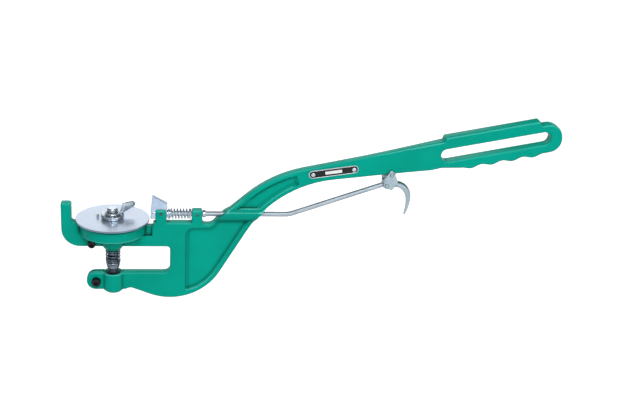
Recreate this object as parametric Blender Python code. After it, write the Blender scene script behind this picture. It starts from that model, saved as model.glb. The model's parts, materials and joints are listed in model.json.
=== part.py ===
"""Hand strapping tensioner: a one-piece casting with a spring-set disc, a latch and a finger trigger.

Shapes are laid out from the spindle: X runs along the tool towards the grip, Z is the spindle axis and
Y is the depth. The disc's upper face is at height zero. One empty then moves the whole tool so that the
middle of the grip slot is the origin.
"""
import math

import bmesh
import bpy
from mathutils import Matrix, Vector

MM = 0.001

# Fits: play between pieces that touch, and round pins and shafts that turn or slide
SEAT_GAP = 0.3 * MM
RUN_GAP = 0.25 * MM
CUT_OVER = 2.0 * MM

# Facets: how far an arc may stray from its curve, the coarsest turn between two points, and how close
# two points of a cut are when they count as one
ARC_SAG = 0.08 * MM
ARC_STEP = math.radians(22.5)
LONGEST_EDGE = 24.0 * MM
POCKET_RUN = 8.0 * MM
FINE_SIDES = 48
ROUND_SIDES = 24
PIN_SIDES = 16
WELD_REACH = 0.002 * MM

# Disc, stud and what sits on them
DISC_RADIUS = 40.0 * MM
DISC_THICKNESS = 2.0 * MM
DISC_EDGE = 0.5 * MM
NUT_SEAT_MARGIN = 1.0 * MM
NUT_SEAT_DEPTH = 0.25 * MM
STUD_RADIUS = 6.0 * MM
STUD_TOP = 11.7 * MM
STUD_CHAMFER = 1.2 * MM
WASHER_RADIUS = 12.0 * MM
WASHER_THICKNESS = 1.8 * MM
NUT_RADIUS = 12.5 * MM
NUT_TOP_RADIUS = 8.2 * MM
NUT_HEIGHT = 4.0 * MM
NUT_FLANGE = 2.0 * MM
EAR_ROOT = 10.6 * MM
EAR_LENGTH = 28.0 * MM
EAR_TOP = 15.2 * MM
EAR_THICKNESS = 3.4 * MM
EAR_TURN = math.radians(30.0)
DISC_PIN_RADIUS = 1.3 * MM
DISC_PIN_HEIGHT = 3.4 * MM
DISC_PIN_X = -15.8 * MM
DISC_PIN_Y = 1.0 * MM
SLEEVE_WALL = 1.5 * MM
SLEEVE_FLANGE_RADIUS = 12.5 * MM
SLEEVE_FLANGE_THICKNESS = 2.6 * MM
SLEEVE_SPIGOT_WALL = 0.9 * MM

# Cup under the disc and the boss below it
CUP_RADIUS = 35.0 * MM
CUP_RIM = 4.5 * MM
CUP_HEIGHT = 12.5 * MM
CUP_FLOOR = 6.0 * MM
CUP_EDGE = 3.0 * MM
CUP_DISH_SLOPE = 2.0 * MM
HUB_WALL = 2.6 * MM
BOSS_TAPER = 2.0 * MM
BOSS_DROP = 4.0 * MM

# Head: plate thickness, hook post, upper arm, throat, lower arm
HEAD_THICKNESS = 11.0 * MM
GRIP_THICKNESS = 15.0 * MM
EDGE_RADIUS = 2.0 * MM
CORNER_RADIUS = 2.3 * MM
POST_GAP = 3.7 * MM
POST_WIDTH = 11.3 * MM
POST_TOP = 18.5 * MM
POST_HEEL_RADIUS = 20.0 * MM
POST_FILLET = 3.0 * MM
ARM_TOP = -3.5 * MM
ARM_BOTTOM = -32.5 * MM
ARM_NOTCH_TOP = -8.0 * MM
ARM_RELIEF_BOTTOM = -19.0 * MM
ARM_RELIEF_DEPTH = 2.0 * MM
THROAT_HEIGHT = 30.8 * MM
THROAT_TOP_FILLET = 3.5 * MM
THROAT_LOW_FILLET = 6.5 * MM
LOWER_ARM_DEPTH = 21.2 * MM
LOWER_ARM_REACH = 29.0 * MM
LOWER_ARM_FLAT = 0.7 * MM
LOWER_BOSS_WALL = 5.4 * MM
LOWER_BOSS_SINK = 1.2 * MM
LOWER_BOSS_DROP = 2.2 * MM
SPRING_BORE_RADIUS = 8.6 * MM
SPRING_BORE_DEPTH = 4.0 * MM
PINCH_SLIT = 1.8 * MM

# Latch, its lugs and spring; places along X count from the latch's working face
LATCH_GAP = 0.9 * MM
LATCH_THICKNESS = 6.0 * MM
LATCH_LENGTH = 18.4 * MM
LATCH_LEAN = 1.8 * MM
LATCH_TIP = 27.0 * MM
LATCH_HEEL = 17.8 * MM
LATCH_TRAVEL = 6.9 * MM
LATCH_TAIL_WALL = 0.9 * MM
LATCH_TAIL_LENGTH = 4.7 * MM
LATCH_SOCKET = 3.4 * MM
LUG_LENGTH = 11.8 * MM
LUG_TOP = 11.0 * MM
LUG_START = 5.4 * MM
LUG_SPACING = 39.4 * MM
LUG_FOOT = 2.6 * MM
HEAD_TOP = -3.4 * MM
NOTCH_FLOOR = -5.0 * MM
NOTCH_LENGTH = 9.4 * MM
GUIDE_PIN_RADIUS = 1.5 * MM
GUIDE_PIN_HEIGHT = 6.6 * MM
LOCK_PIN_RADIUS = 1.3 * MM
THROAT_END = 21.5 * MM
LATCH_WIRE = 1.5 * MM
LATCH_SPRING_PLAY = 1.75 * MM
LATCH_TURNS = 6.5

# Pull rod
ROD_RADIUS = 2.75 * MM
ROD_HEIGHT = 5.5 * MM
ROD_BEND_RADIUS = 24.0 * MM
ROD_BEND_X = 152.1 * MM
ROD_EYE_WALL = 1.6 * MM
ROD_EYE_LENGTH = 7.0 * MM
ROD_EYE_PLAY = 1.1 * MM
BUSH_WALL = 1.1 * MM
COLLAR_WALL = 1.0 * MM
COLLAR_LENGTH = 3.2 * MM
COLLAR_SCREW_RADIUS = 1.0 * MM
ROD_BOSS_HALF = 8.0 * MM
ROD_BOSS_FLAT = 3.4 * MM
ROD_BOSS_INSET = 0.06 * MM

# Neck: corner points of its two edges, X from the latch's working face, with the arc at each corner
BELLY_START = (-21.9 * MM, -82.2 * MM, 6.0 * MM)
BELLY_CORNER = (49.1 * MM, -110.0 * MM, 63.0 * MM)
ARCH_CORNER = (137.3 * MM, 40.8 * MM, 125.0 * MM)
ARCH_END = (307.0 * MM, 61.2 * MM, 8.0 * MM)
CREST_CORNER = (130.8 * MM, 52.6 * MM, 135.0 * MM)
CREST_REAR = (234.1 * MM, 75.0 * MM, 500.0 * MM)
NECK_FILLET = 9.0 * MM
RIM_WIDTH = 4.6 * MM
WEB_THICKNESS = 4.4 * MM
POCKET_LEAN = 2.64 * MM
POCKET_LEFT = 38.1 * MM
POCKET_TOP = -9.2 * MM
POCKET_CORNER = 9.0 * MM
POCKET_FOOT = 3.2 * MM
NECK_POCKET_END = 166.0 * MM
TAPER_START = 272.0 * MM
TAPER_END = 314.0 * MM

# Grip: laid out along the slot's own line, from the slot's left arc centre
GRIP_X = 323.5 * MM
GRIP_Z = 79.1 * MM
GRIP_TILT = math.radians(11.24)
SLOT_RADIUS = 7.0 * MM
SLOT_LENGTH = 109.3 * MM
GRIP_ABOVE = 16.8 * MM
GRIP_BELOW = 17.4 * MM
GRIP_END = 20.4 * MM
GRIP_END_ABOVE = 15.4 * MM
GRIP_END_RADIUS = 15.5 * MM
RAIL_HEIGHT = 4.2 * MM
RAIL_INSET = 3.0 * MM
RAIL_RAMP = 2.0 * MM
FINGER_COUNT = 4
FINGER_PITCH = 23.4 * MM
FINGER_DEPTH = 2.7 * MM
FINGER_FIRST = 24.7 * MM
BAR_START = (-8.5 * MM, -13.6 * MM)

# Trigger, from its pivot
PIVOT_X = 263.0 * MM
PIVOT_Z = 55.4 * MM
PIVOT_RADIUS = 2.0 * MM
PIVOT_LUG_RADIUS = 4.6 * MM
CHEEK_THICKNESS = 2.7 * MM
CHEEK_CORNERS = (
    (-0.4 * MM, 9.0 * MM, 3.0 * MM),
    (-8.8 * MM, -6.0 * MM, 2.6 * MM),
    (-7.6 * MM, -15.4 * MM, 2.6 * MM),
    (1.6 * MM, -17.2 * MM, 2.6 * MM),
    (7.8 * MM, -7.6 * MM, 4.0 * MM),
)
CHEEK_EDGE = 0.8 * MM
ROD_PIN_RADIUS = 2.0 * MM
ROD_PIN_OFFSET = (-4.8 * MM, -12.1 * MM)
CLAW_CURVE = ((4.5, -12.3), (17.1, -12.2), (26.9, -23.0), (18.9, -47.6))
CLAW_ROOT = 7.4 * MM
CLAW_TIP = 2.2 * MM
CLAW_THICKNESS = 8.0 * MM
CLAW_THINNING = 0.6
CLAW_STEPS = 11
CLAW_SIDES = 12

# Socket-head screws
PINCH_RADIUS = 3.0 * MM
ARM_SCREW_RADIUS = 2.5 * MM
ARM_SCREW_X = -22.5 * MM
ARM_SCREW_Z = -28.4 * MM
HEAD_RATIO = 1.68
SOCKET_RATIO = 0.96
SOCKET_DEPTH_RATIO = 1.0

# Spindle spring and its seat, downwards from the sleeve
SPINDLE_WIRE = 1.5 * MM
SPINDLE_SPRING_LENGTH = 15.0 * MM
SPINDLE_TURNS = 4.6
SEAT_LENGTH = 6.0 * MM
SEAT_WALL = 1.7 * MM

# Nameplate
PLATE_X = 198.4 * MM
PLATE_Z = 58.2 * MM
PLATE_TILT = math.radians(8.6)
PLATE_LENGTH = 55.0 * MM
PLATE_WIDTH = 9.0 * MM
PLATE_THICKNESS = 0.9 * MM
RIVET_RADIUS = 1.2 * MM
RIVET_HEAD_RADIUS = 2.4 * MM
RIVET_HEAD = 0.9 * MM
RIVET_LENGTH = 4.0 * MM
RIVET_SPAN = 45.2 * MM

# Colours: paint, plating, spring steel, black screws, plate
GREEN = (0.010, 0.340, 0.235)
ZINC = (0.66, 0.68, 0.74)
STEEL = (0.36, 0.40, 0.45)
DARK_STEEL = (0.13, 0.14, 0.16)
BLACK = (0.018, 0.018, 0.02)
BRONZE = (0.48, 0.30, 0.13)

# Values that follow from the ones above
HALF = HEAD_THICKNESS / 2
LATCH_FACE = DISC_RADIUS + LATCH_GAP
POST_INNER = -(DISC_RADIUS + POST_GAP)
POST_OUTER = POST_INNER - POST_WIDTH
THROAT_X = LATCH_FACE + THROAT_END
LOWER_TOP = ARM_BOTTOM - THROAT_HEIGHT
LOWER_BOTTOM = LOWER_TOP - LOWER_ARM_DEPTH
LUG1_LEFT = LATCH_FACE + LUG_START
LUG1_RIGHT = LUG1_LEFT + LUG_LENGTH
LUG2_LEFT = LUG1_LEFT + LUG_SPACING
LUG2_RIGHT = LUG2_LEFT + LUG_LENGTH
CUP_TOP = -DISC_THICKNESS - SEAT_GAP
SLEEVE_BORE = STUD_RADIUS + RUN_GAP
SLEEVE_RADIUS = SLEEVE_BORE + SLEEVE_WALL
FLANGE_TOP = CUP_TOP
FLANGE_BOTTOM = FLANGE_TOP - SLEEVE_FLANGE_THICKNESS
HUB_TOP = FLANGE_BOTTOM - SEAT_GAP
BORE_RADIUS = SLEEVE_RADIUS + RUN_GAP
BOSS_BOTTOM = ARM_BOTTOM - BOSS_DROP
LOWER_BOSS_RADIUS = STUD_RADIUS + LOWER_BOSS_WALL
ROD_BORE = ROD_RADIUS + RUN_GAP
BUSH_RADIUS = ROD_BORE + BUSH_WALL
LATCH_TAIL_RADIUS = ROD_BORE + LATCH_TAIL_WALL
LATCH_SPRING_RADIUS = ROD_RADIUS + LATCH_SPRING_PLAY + LATCH_WIRE
PINCH_X = -LOWER_ARM_REACH + LOWER_ARM_DEPTH / 2
PINCH_Z = LOWER_TOP - LOWER_ARM_DEPTH / 2
PIVOT = Vector((LATCH_FACE + PIVOT_X, PIVOT_Z))
ROD_PIN = PIVOT + Vector(ROD_PIN_OFFSET)
NECK_LINE_FOOT = Vector((LUG2_RIGHT + NOTCH_LENGTH, NOTCH_FLOOR))
TAIL_END = LATCH_FACE + LATCH_LENGTH + LATCH_TAIL_LENGTH


def clear_scene():
    for thing in list(bpy.data.objects):
        bpy.data.objects.remove(thing, do_unlink=True)


def finish(name, colour, roughness, metallic):
    """A plain material for one piece."""
    made = bpy.data.materials.new(name)
    made.use_nodes = True
    shader = made.node_tree.nodes["Principled BSDF"]
    shader.inputs["Base Color"].default_value = (*colour, 1.0)
    shader.inputs["Roughness"].default_value = roughness
    shader.inputs["Metallic"].default_value = metallic
    return made


def empty(name, place, parent=None):
    made = bpy.data.objects.new(name, None)
    bpy.context.collection.objects.link(made)
    made.location = place
    made.parent = parent
    return made


def to_object(name, bm, parent, smooth=True):
    """Turns a bmesh laid out in the tool's frame into an object under an axis empty."""
    bmesh.ops.recalc_face_normals(bm, faces=bm.faces)
    if bm.calc_volume(signed=True) < 0:
        bmesh.ops.reverse_faces(bm, faces=bm.faces)
    mesh = bpy.data.meshes.new(name)
    bm.to_mesh(mesh)
    bm.free()
    if smooth:
        mesh.shade_smooth()
        mesh.set_sharp_from_angle(angle=math.radians(32))
    made = bpy.data.objects.new(name, mesh)
    bpy.context.collection.objects.link(made)
    made.parent = parent
    if parent.parent is not None:
        made.location = -parent.location
    return made


def paint(piece, made):
    piece.data.materials.clear()
    piece.data.materials.append(made)


def combine(target, tool, operation):
    """Adds a Boolean to the target, joins the cut's near-equal points and hides its tool."""
    tool.hide_render = True
    tool.display_type = "WIRE"
    modifier = target.modifiers.new(tool.name, "BOOLEAN")
    modifier.operation = operation
    modifier.solver = "EXACT"
    modifier.object = tool
    weld = target.modifiers.new(f"{tool.name}_weld", "WELD")
    weld.merge_threshold = WELD_REACH


def arc_steps(radius, sweep):
    step = min(ARC_STEP, 2 * math.acos(max(0.0, 1 - ARC_SAG / radius)))
    return max(1, math.ceil(abs(sweep) / step - 1e-6))


def ease(corners, closed=True):
    """Points of an outline whose (x, z, radius) corners are rounded by arcs."""
    count = len(corners)
    points = []
    for i, (x, z, radius) in enumerate(corners):
        here = Vector((x, z))
        if radius <= 0 or (not closed and i in (0, count - 1)):
            points.append(here)
            continue
        before = (Vector(corners[i - 1][:2]) - here).normalized()
        after = (Vector(corners[(i + 1) % count][:2]) - here).normalized()
        half = before.angle(after) / 2
        centre = here + (before + after).normalized() * (radius / math.sin(half))
        start = here + before * (radius / math.tan(half)) - centre
        end = here + after * (radius / math.tan(half)) - centre
        first = math.atan2(start.y, start.x)
        sweep = (math.atan2(end.y, end.x) - first + math.pi) % (2 * math.pi) - math.pi
        steps = arc_steps(radius, sweep)
        for k in range(steps + 1):
            angle = first + sweep * k / steps
            points.append(centre + radius * Vector((math.cos(angle), math.sin(angle))))
    return points


def split_runs(points, longest, closed=True):
    """Drops repeated points and splits long straight runs."""
    kept = [] if closed else [points[0]]
    for i, here in enumerate(points):
        run = here - points[i - 1]
        if run.length < 0.01 * MM or (i == 0 and not closed):
            continue
        pieces = math.ceil(run.length / longest)
        kept.extend(points[i - 1] + run * k / pieces for k in range(1, pieces + 1))
    return kept


def thinned(points, shortest):
    """Leaves out points that stand too close to the one kept before them."""
    kept = points[:1]
    for here in points[1:]:
        if (here - kept[-1]).length > shortest:
            kept.append(here)
    return kept


def tidy(points):
    """Splits long runs and puts the outline counter-clockwise."""
    kept = split_runs(points, LONGEST_EDGE)
    area = sum(a.x * b.y - b.x * a.y for a, b in zip(kept, kept[1:] + kept[:1]))
    return kept if area > 0 else kept[::-1]


def inset(points, depth):
    """The closed outline moved inwards by depth, or outwards when depth is negative."""
    moved = []
    count = len(points)
    for i, here in enumerate(points):
        before = (here - points[i - 1]).normalized()
        after = (points[(i + 1) % count] - here).normalized()
        left = Vector((-before.y, before.x))
        normal = Vector((-before.y - after.y, before.x + after.x)).normalized()
        moved.append(here + normal * depth / max(0.4, normal.dot(left)))
    return moved


def slab(points, levels, depth_at=None):
    """A closed bmesh with one ring of the X-Z outline for each (y, inset) level, front to back."""
    bm = bmesh.new()
    outline = tidy(points)
    rings = []
    for y, depth in levels:
        ring = []
        for point in inset(outline, depth):
            stretch = depth_at(point.x) if depth_at else 1.0
            ring.append(bm.verts.new((point.x, y * stretch, point.y)))
        rings.append(ring)
    count = len(outline)
    for front, back in zip(rings, rings[1:]):
        for i in range(count):
            j = (i + 1) % count
            bm.faces.new((front[i], front[j], back[j], back[i]))
    caps = [bm.faces.new(rings[0]), bm.faces.new(rings[-1])]
    bm.normal_update()
    bmesh.ops.triangulate(bm, faces=caps)
    return bm


def rounded_levels(half, edge, steps=2):
    """Levels of a plate whose front and back edges are rounded."""
    turn = [math.pi / 2 * k / steps for k in range(steps + 1)]
    front = [(-half + edge * (1 - math.cos(a)), edge * (1 - math.sin(a))) for a in turn]
    return front + [(-y, depth) for y, depth in reversed(front)]


def flared_levels(half, edge, steps=2):
    """Levels of a cutter that leaves rounded edges where it breaks out."""
    inner = rounded_levels(half, edge, steps)
    flared = [(y, -depth) for y, depth in inner]
    return [(-half - CUT_OVER, -edge)] + flared + [(half + CUT_OVER, -edge)]


def straight_levels(low, high):
    return [(low, 0.0), (high, 0.0)]


def capsule(start, end, radius):
    """A slot outline with round ends between two centres."""
    along = (end - start).normalized()
    across = Vector((-along.y, along.x)) * radius
    steps = 2 * arc_steps(radius, math.pi / 2)
    points = []
    for centre, first in ((end, -across), (start, across)):
        for k in range(steps + 1):
            points.append(centre + Matrix.Rotation(math.pi * k / steps, 2) @ first)
    return points


def box_outline(low_x, low_z, high_x, high_z):
    return [Vector(p) for p in ((low_x, low_z), (high_x, low_z), (high_x, high_z), (low_x, high_z))]


def turned(profile, sides, closed=False):
    """A closed bmesh spun about Z from (radius, z) points; a closed profile makes a ring."""
    bm = bmesh.new()
    verts = [bm.verts.new((radius, 0, z)) for radius, z in profile]
    edges = [bm.edges.new(pair) for pair in zip(verts, verts[1:])]
    if closed:
        edges.append(bm.edges.new((verts[-1], verts[0])))
    bmesh.ops.spin(bm, geom=verts + edges, cent=(0, 0, 0), axis=(0, 0, 1),
                   angle=2 * math.pi, steps=sides, use_merge=True)
    bmesh.ops.remove_doubles(bm, verts=bm.verts, dist=0.001 * MM)
    return bm


def rod_between(low, high, radius, sides, chamfer=0.0):
    """A plain round bar along Z, with its ends chamfered if asked."""
    side = [(radius, high - chamfer), (radius, low + chamfer)]
    if chamfer > 0:
        side = [(radius - chamfer, high)] + side + [(radius - chamfer, low)]
    return turned([(0.0, high)] + side + [(0.0, low)], sides)


def ring(low, high, inner, outer, sides, chamfer=0.0):
    """A washer or bush along Z."""
    side = [(outer, high - chamfer), (outer, low + chamfer)]
    if chamfer > 0:
        side = [(outer - chamfer, high)] + side + [(outer - chamfer, low)]
    return turned([(inner, high)] + side + [(inner, low)], sides, closed=True)


def laid(bm, axis, place):
    """Lays a piece made along Z along X or along -Y and moves it."""
    turns = {"X": Matrix.Rotation(math.pi / 2, 4, "Y"), "-Y": Matrix.Rotation(math.pi / 2, 4, "X")}
    if axis in turns:
        bmesh.ops.transform(bm, matrix=turns[axis], verts=bm.verts)
    bmesh.ops.translate(bm, vec=Vector(place), verts=bm.verts)
    return bm


def coil(low, high, radius, wire, turns, sides=6, per_turn=12):
    """A compression spring along Z with closed ends; radius is the outer one."""
    bm = bmesh.new()
    middle = radius - wire / 2
    bottom, top = low + wire / 2, high - wire / 2
    steps = round(turns * per_turn)
    rings = []
    for k in range(steps + 1):
        share = k / steps
        angle = 2 * math.pi * turns * share
        lead = min(1.0, max(0.0, (turns * share - 0.75) / (turns - 1.5)))
        height = bottom + (top - bottom) * lead
        out = Vector((math.cos(angle), math.sin(angle), 0))
        section = []
        for s in range(sides):
            a = 2 * math.pi * s / sides
            offset = out * (middle + wire / 2 * math.cos(a)) + Vector((0, 0, height + wire / 2 * math.sin(a)))
            section.append(bm.verts.new(offset))
        rings.append(section)
    for here, following in zip(rings, rings[1:]):
        for s in range(sides):
            t = (s + 1) % sides
            bm.faces.new((here[s], here[t], following[t], following[s]))
    bm.faces.new(rings[0])
    bm.faces.new(rings[-1])
    return bm


def from_face(corner):
    """A neck corner, given from the latch's working face, in the tool's frame."""
    return (corner[0] + LATCH_FACE, *corner[1:])


def grip_point(along, above):
    """A point of the grip, from the slot's left arc centre along and across the slot."""
    direction = Vector((math.cos(GRIP_TILT), math.sin(GRIP_TILT)))
    normal = Vector((-direction.y, direction.x))
    return Vector((LATCH_FACE + GRIP_X, GRIP_Z)) + direction * along + normal * above


def depth_share(x):
    """How much thicker than the head the casting is at a place along X."""
    share = (x - LATCH_FACE - TAPER_START) / (TAPER_END - TAPER_START)
    share = min(1.0, max(0.0, share))
    return 1.0 + share * (GRIP_THICKNESS / HEAD_THICKNESS - 1.0)


def finger_edge():
    """The wavy lower edge of the grip."""
    points = []
    per_wave = 10
    first = FINGER_FIRST - FINGER_PITCH / 2
    for k in range(FINGER_COUNT * per_wave + 1):
        along = first + FINGER_PITCH * k / per_wave
        wave = 1 - math.cos(2 * math.pi * (along - first) / FINGER_PITCH)
        points.append(grip_point(along, -GRIP_BELOW - FINGER_DEPTH * wave / 2))
    return points


def sharp(points):
    return [(point.x, point.y, 0.0) for point in points]


def eased(point, radius):
    return (point.x, point.y, radius)


def lower_corners():
    """Lower edge of belly, arch and neck."""
    return [from_face(BELLY_START), from_face(BELLY_CORNER), from_face(ARCH_CORNER), from_face(ARCH_END)]


def upper_corners():
    """Upper edge of the neck, from the notch to the rail."""
    foot = eased(NECK_LINE_FOOT, NECK_FILLET)
    step = eased(grip_point(-RAIL_RAMP, GRIP_ABOVE), 1.5 * MM)
    return [foot, from_face(CREST_CORNER), from_face(CREST_REAR), step]


def inset_path(corners, depth):
    """An open run of corners moved to its left by depth, with its arcs kept concentric."""
    points = [Vector(c[:2]) for c in corners]
    moved = []
    for i, (x, z, radius) in enumerate(corners):
        before = (points[i] - points[max(i - 1, 0)]).normalized()
        after = (points[min(i + 1, len(points) - 1)] - points[i]).normalized()
        before = before if before.length > 0 else after
        after = after if after.length > 0 else before
        left = Vector((-before.y, before.x))
        normal = (left + Vector((-after.y, after.x))).normalized()
        place = points[i] + normal * depth / normal.dot(left)
        turn = before.x * after.y - before.y * after.x
        moved.append((place.x, place.y, radius - depth if turn > 0 else radius + depth))
    return moved


def frame_outline():
    """Outer edge of the casting, from the hook post round the throat, the grip and back over the lugs."""
    cup_wall = CUP_RADIUS - CUP_RIM / 2
    dip = CUP_TOP - CUP_HEIGHT + CUP_FLOOR / 2
    small = CORNER_RADIUS
    corners = [
        (POST_INNER, ARM_TOP, POST_FILLET),
        (POST_INNER, POST_TOP, small),
        (POST_OUTER, POST_TOP, small),
        (POST_OUTER, ARM_BOTTOM, POST_HEEL_RADIUS),
        (THROAT_X, ARM_BOTTOM, THROAT_TOP_FILLET),
        (THROAT_X, LOWER_TOP, THROAT_LOW_FILLET),
        (-LOWER_ARM_REACH, LOWER_TOP, LOWER_ARM_DEPTH / 2 - LOWER_ARM_FLAT),
        (-LOWER_ARM_REACH, LOWER_BOTTOM, LOWER_ARM_DEPTH / 2 - LOWER_ARM_FLAT),
        (LOWER_BOSS_RADIUS + 2 * MM, LOWER_BOTTOM, small),
    ]
    corners += lower_corners()
    corners.append(eased(grip_point(*BAR_START), 8.0 * MM))
    corners += sharp(finger_edge())
    end = SLOT_LENGTH + GRIP_END
    corners.append(eased(grip_point(end, -GRIP_BELOW), GRIP_END_RADIUS))
    corners.append(eased(grip_point(end, GRIP_END_ABOVE), GRIP_END_RADIUS))
    rail_end = SLOT_LENGTH - RAIL_INSET
    corners.append(eased(grip_point(rail_end + RAIL_RAMP, GRIP_END_ABOVE), 1.5 * MM))
    corners.append(eased(grip_point(rail_end, GRIP_ABOVE + RAIL_HEIGHT), small))
    corners.append(eased(grip_point(0.0, GRIP_ABOVE + RAIL_HEIGHT), small))
    corners += reversed(upper_corners())
    corners += [
        (LUG2_RIGHT, NOTCH_FLOOR, POST_FILLET),
        (LUG2_RIGHT, LUG_TOP, small),
        (LUG2_LEFT, LUG_TOP, small),
        (LUG2_LEFT, HEAD_TOP, 1.0 * MM),
        (LUG1_RIGHT, HEAD_TOP, 1.0 * MM),
        (LUG1_RIGHT, LUG_TOP, small),
        (LUG1_LEFT, LUG_TOP, small),
        (LUG1_LEFT, HEAD_TOP, 0.0),
        (LUG1_LEFT - LUG_FOOT, HEAD_TOP, small),
        (LUG1_LEFT - LUG_FOOT, ARM_NOTCH_TOP, 1.0 * MM),
        (cup_wall, ARM_NOTCH_TOP, 0.0),
        (cup_wall, dip, 0.0),
        (-cup_wall, dip, 0.0),
        (-cup_wall, ARM_TOP, 0.0),
    ]
    return ease(corners)


def pocket_outlines():
    """Belly pocket and neck pocket, both a rim's width inside the casting's edges."""
    lower = split_runs(ease(inset_path(lower_corners(), RIM_WIDTH), closed=False), POCKET_RUN, closed=False)
    upper = split_runs(ease(inset_path(upper_corners(), -RIM_WIDTH), closed=False), POCKET_RUN, closed=False)
    left = LATCH_FACE + POCKET_LEFT
    neck_end = LATCH_FACE + NECK_POCKET_END
    belly_edge = thinned([p for p in lower if p.x > left and p.y < ROD_HEIGHT], POCKET_RUN * 0.8)
    belly = [(left, POCKET_TOP, POCKET_CORNER), (left, belly_edge[0].y, POCKET_FOOT)]
    belly += sharp(belly_edge[1:])
    shoulder = NECK_LINE_FOOT.x + RIM_WIDTH
    belly += [(shoulder + ROD_BOSS_HALF, ROD_HEIGHT, 0.0), (shoulder - RIM_WIDTH, POCKET_TOP, 4.0 * MM)]
    neck_low = thinned([p for p in lower if p.y > ROD_HEIGHT and p.x < neck_end], POCKET_RUN * 0.8)
    neck_high = thinned([p for p in upper if p.y > ROD_HEIGHT and p.x < neck_end], POCKET_RUN * 0.8)
    return ease(belly), neck_low + neck_high[::-1]


def add_frame_forms(frame, root):
    """Cup with its boss, lower boss and rod boss, joined to the plate."""
    cup_bottom = CUP_TOP - CUP_HEIGHT
    hub = SLEEVE_RADIUS + RUN_GAP + HUB_WALL
    dish = cup_bottom + CUP_FLOOR
    cup = turned([
        (0.0, HUB_TOP), (SLEEVE_FLANGE_RADIUS + 0.5 * MM, HUB_TOP),
        (SLEEVE_FLANGE_RADIUS + 0.5 * MM + CUP_DISH_SLOPE, dish),
        (CUP_RADIUS - CUP_RIM - CUP_DISH_SLOPE / 2, dish),
        (CUP_RADIUS - CUP_RIM, CUP_TOP), (CUP_RADIUS - DISC_EDGE, CUP_TOP),
        (CUP_RADIUS, CUP_TOP - DISC_EDGE), (CUP_RADIUS, cup_bottom + CUP_EDGE),
        (CUP_RADIUS - CUP_EDGE * 0.3, cup_bottom + CUP_EDGE * 0.3), (CUP_RADIUS - CUP_EDGE, cup_bottom),
        (hub + BOSS_TAPER, cup_bottom - BOSS_TAPER), (hub, ARM_BOTTOM),
        (hub - BOSS_TAPER * 0.4, BOSS_BOTTOM + BOSS_DROP * 0.4), (hub - BOSS_TAPER, BOSS_BOTTOM),
        (0.0, BOSS_BOTTOM),
    ], FINE_SIDES)
    combine(frame, to_object("cup_form", cup, root), "UNION")

    boss_top = LOWER_TOP - LOWER_BOSS_SINK
    boss_low = LOWER_BOTTOM - LOWER_BOSS_DROP
    spot = rod_between(boss_top, LOWER_TOP + CUT_OVER, LOWER_BOSS_RADIUS, ROUND_SIDES)
    combine(frame, to_object("boss_spot_cut", spot, root), "DIFFERENCE")
    edge = 0.7 * MM
    boss = turned([
        (0.0, boss_top - 0.05 * MM), (LOWER_BOSS_RADIUS - edge, boss_top - 0.05 * MM),
        (LOWER_BOSS_RADIUS, boss_top - edge),
        (LOWER_BOSS_RADIUS, LOWER_BOTTOM), (LOWER_BOSS_RADIUS - LOWER_BOSS_DROP, boss_low), (0.0, boss_low),
    ], ROUND_SIDES)
    combine(frame, to_object("lower_boss_form", boss, root), "UNION")

    start = NECK_LINE_FOOT.x - ROD_BOSS_HALF / 4
    half, flat = ROD_BOSS_HALF, ROD_BOSS_FLAT
    section = [(-half, flat), (-flat, half), (flat, half), (half, flat),
               (half, -flat), (flat, -half), (-flat, -half), (-half, -flat)]
    bm = bmesh.new()
    face = bm.faces.new([bm.verts.new((start, y, ROD_HEIGHT + z)) for y, z in section])
    pushed = bmesh.ops.extrude_face_region(bm, geom=[face])
    reach = Vector((ROD_BEND_X + LATCH_FACE - start, 0, 0))
    bmesh.ops.translate(bm, vec=reach, verts=[v for v in pushed["geom"] if isinstance(v, bmesh.types.BMVert)])
    boss = to_object("rod_boss_form", bm, root)
    levels = [(y, depth + ROD_BOSS_INSET) for y, depth in rounded_levels(2 * ROD_BOSS_HALF, EDGE_RADIUS)]
    trim = slab(frame_outline(), levels)
    combine(boss, to_object("rod_boss_trim", trim, root), "INTERSECT")
    combine(frame, boss, "UNION")

    lug = laid(rod_between(-HALF + 0.4 * MM, HALF - 0.4 * MM, PIVOT_LUG_RADIUS, ROUND_SIDES, 0.6 * MM), "-Y",
               (PIVOT.x, 0, PIVOT.y))
    combine(frame, to_object("pivot_lug_form", lug, root), "UNION")


def cut_pockets(frame, root):
    """Sunk panels between the rims, and the relief beside the cup, on both faces."""
    depth = HALF - WEB_THICKNESS / 2
    over = POCKET_LEAN / depth * CUT_OVER
    belly, neck = pocket_outlines()
    relief = box_outline(CUP_RADIUS - CUP_RIM, ARM_RELIEF_BOTTOM, LUG1_LEFT - LUG_FOOT - 0.6 * MM,
                         ARM_NOTCH_TOP + CUT_OVER)
    for side, label in ((-1, "front"), (1, "back")):
        levels = [(side * (HALF + CUT_OVER), -over), (side * (HALF - depth), POCKET_LEAN)]
        for name, outline in (("belly", belly), ("neck", neck)):
            tool = to_object(f"{name}_pocket_{label}", slab(outline, levels), root)
            combine(frame, tool, "DIFFERENCE")
        flat = [(side * (HALF + CUT_OVER), 0.0), (side * (HALF - ARM_RELIEF_DEPTH), 0.0)]
        combine(frame, to_object(f"arm_relief_{label}", slab(relief, flat), root), "DIFFERENCE")


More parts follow.
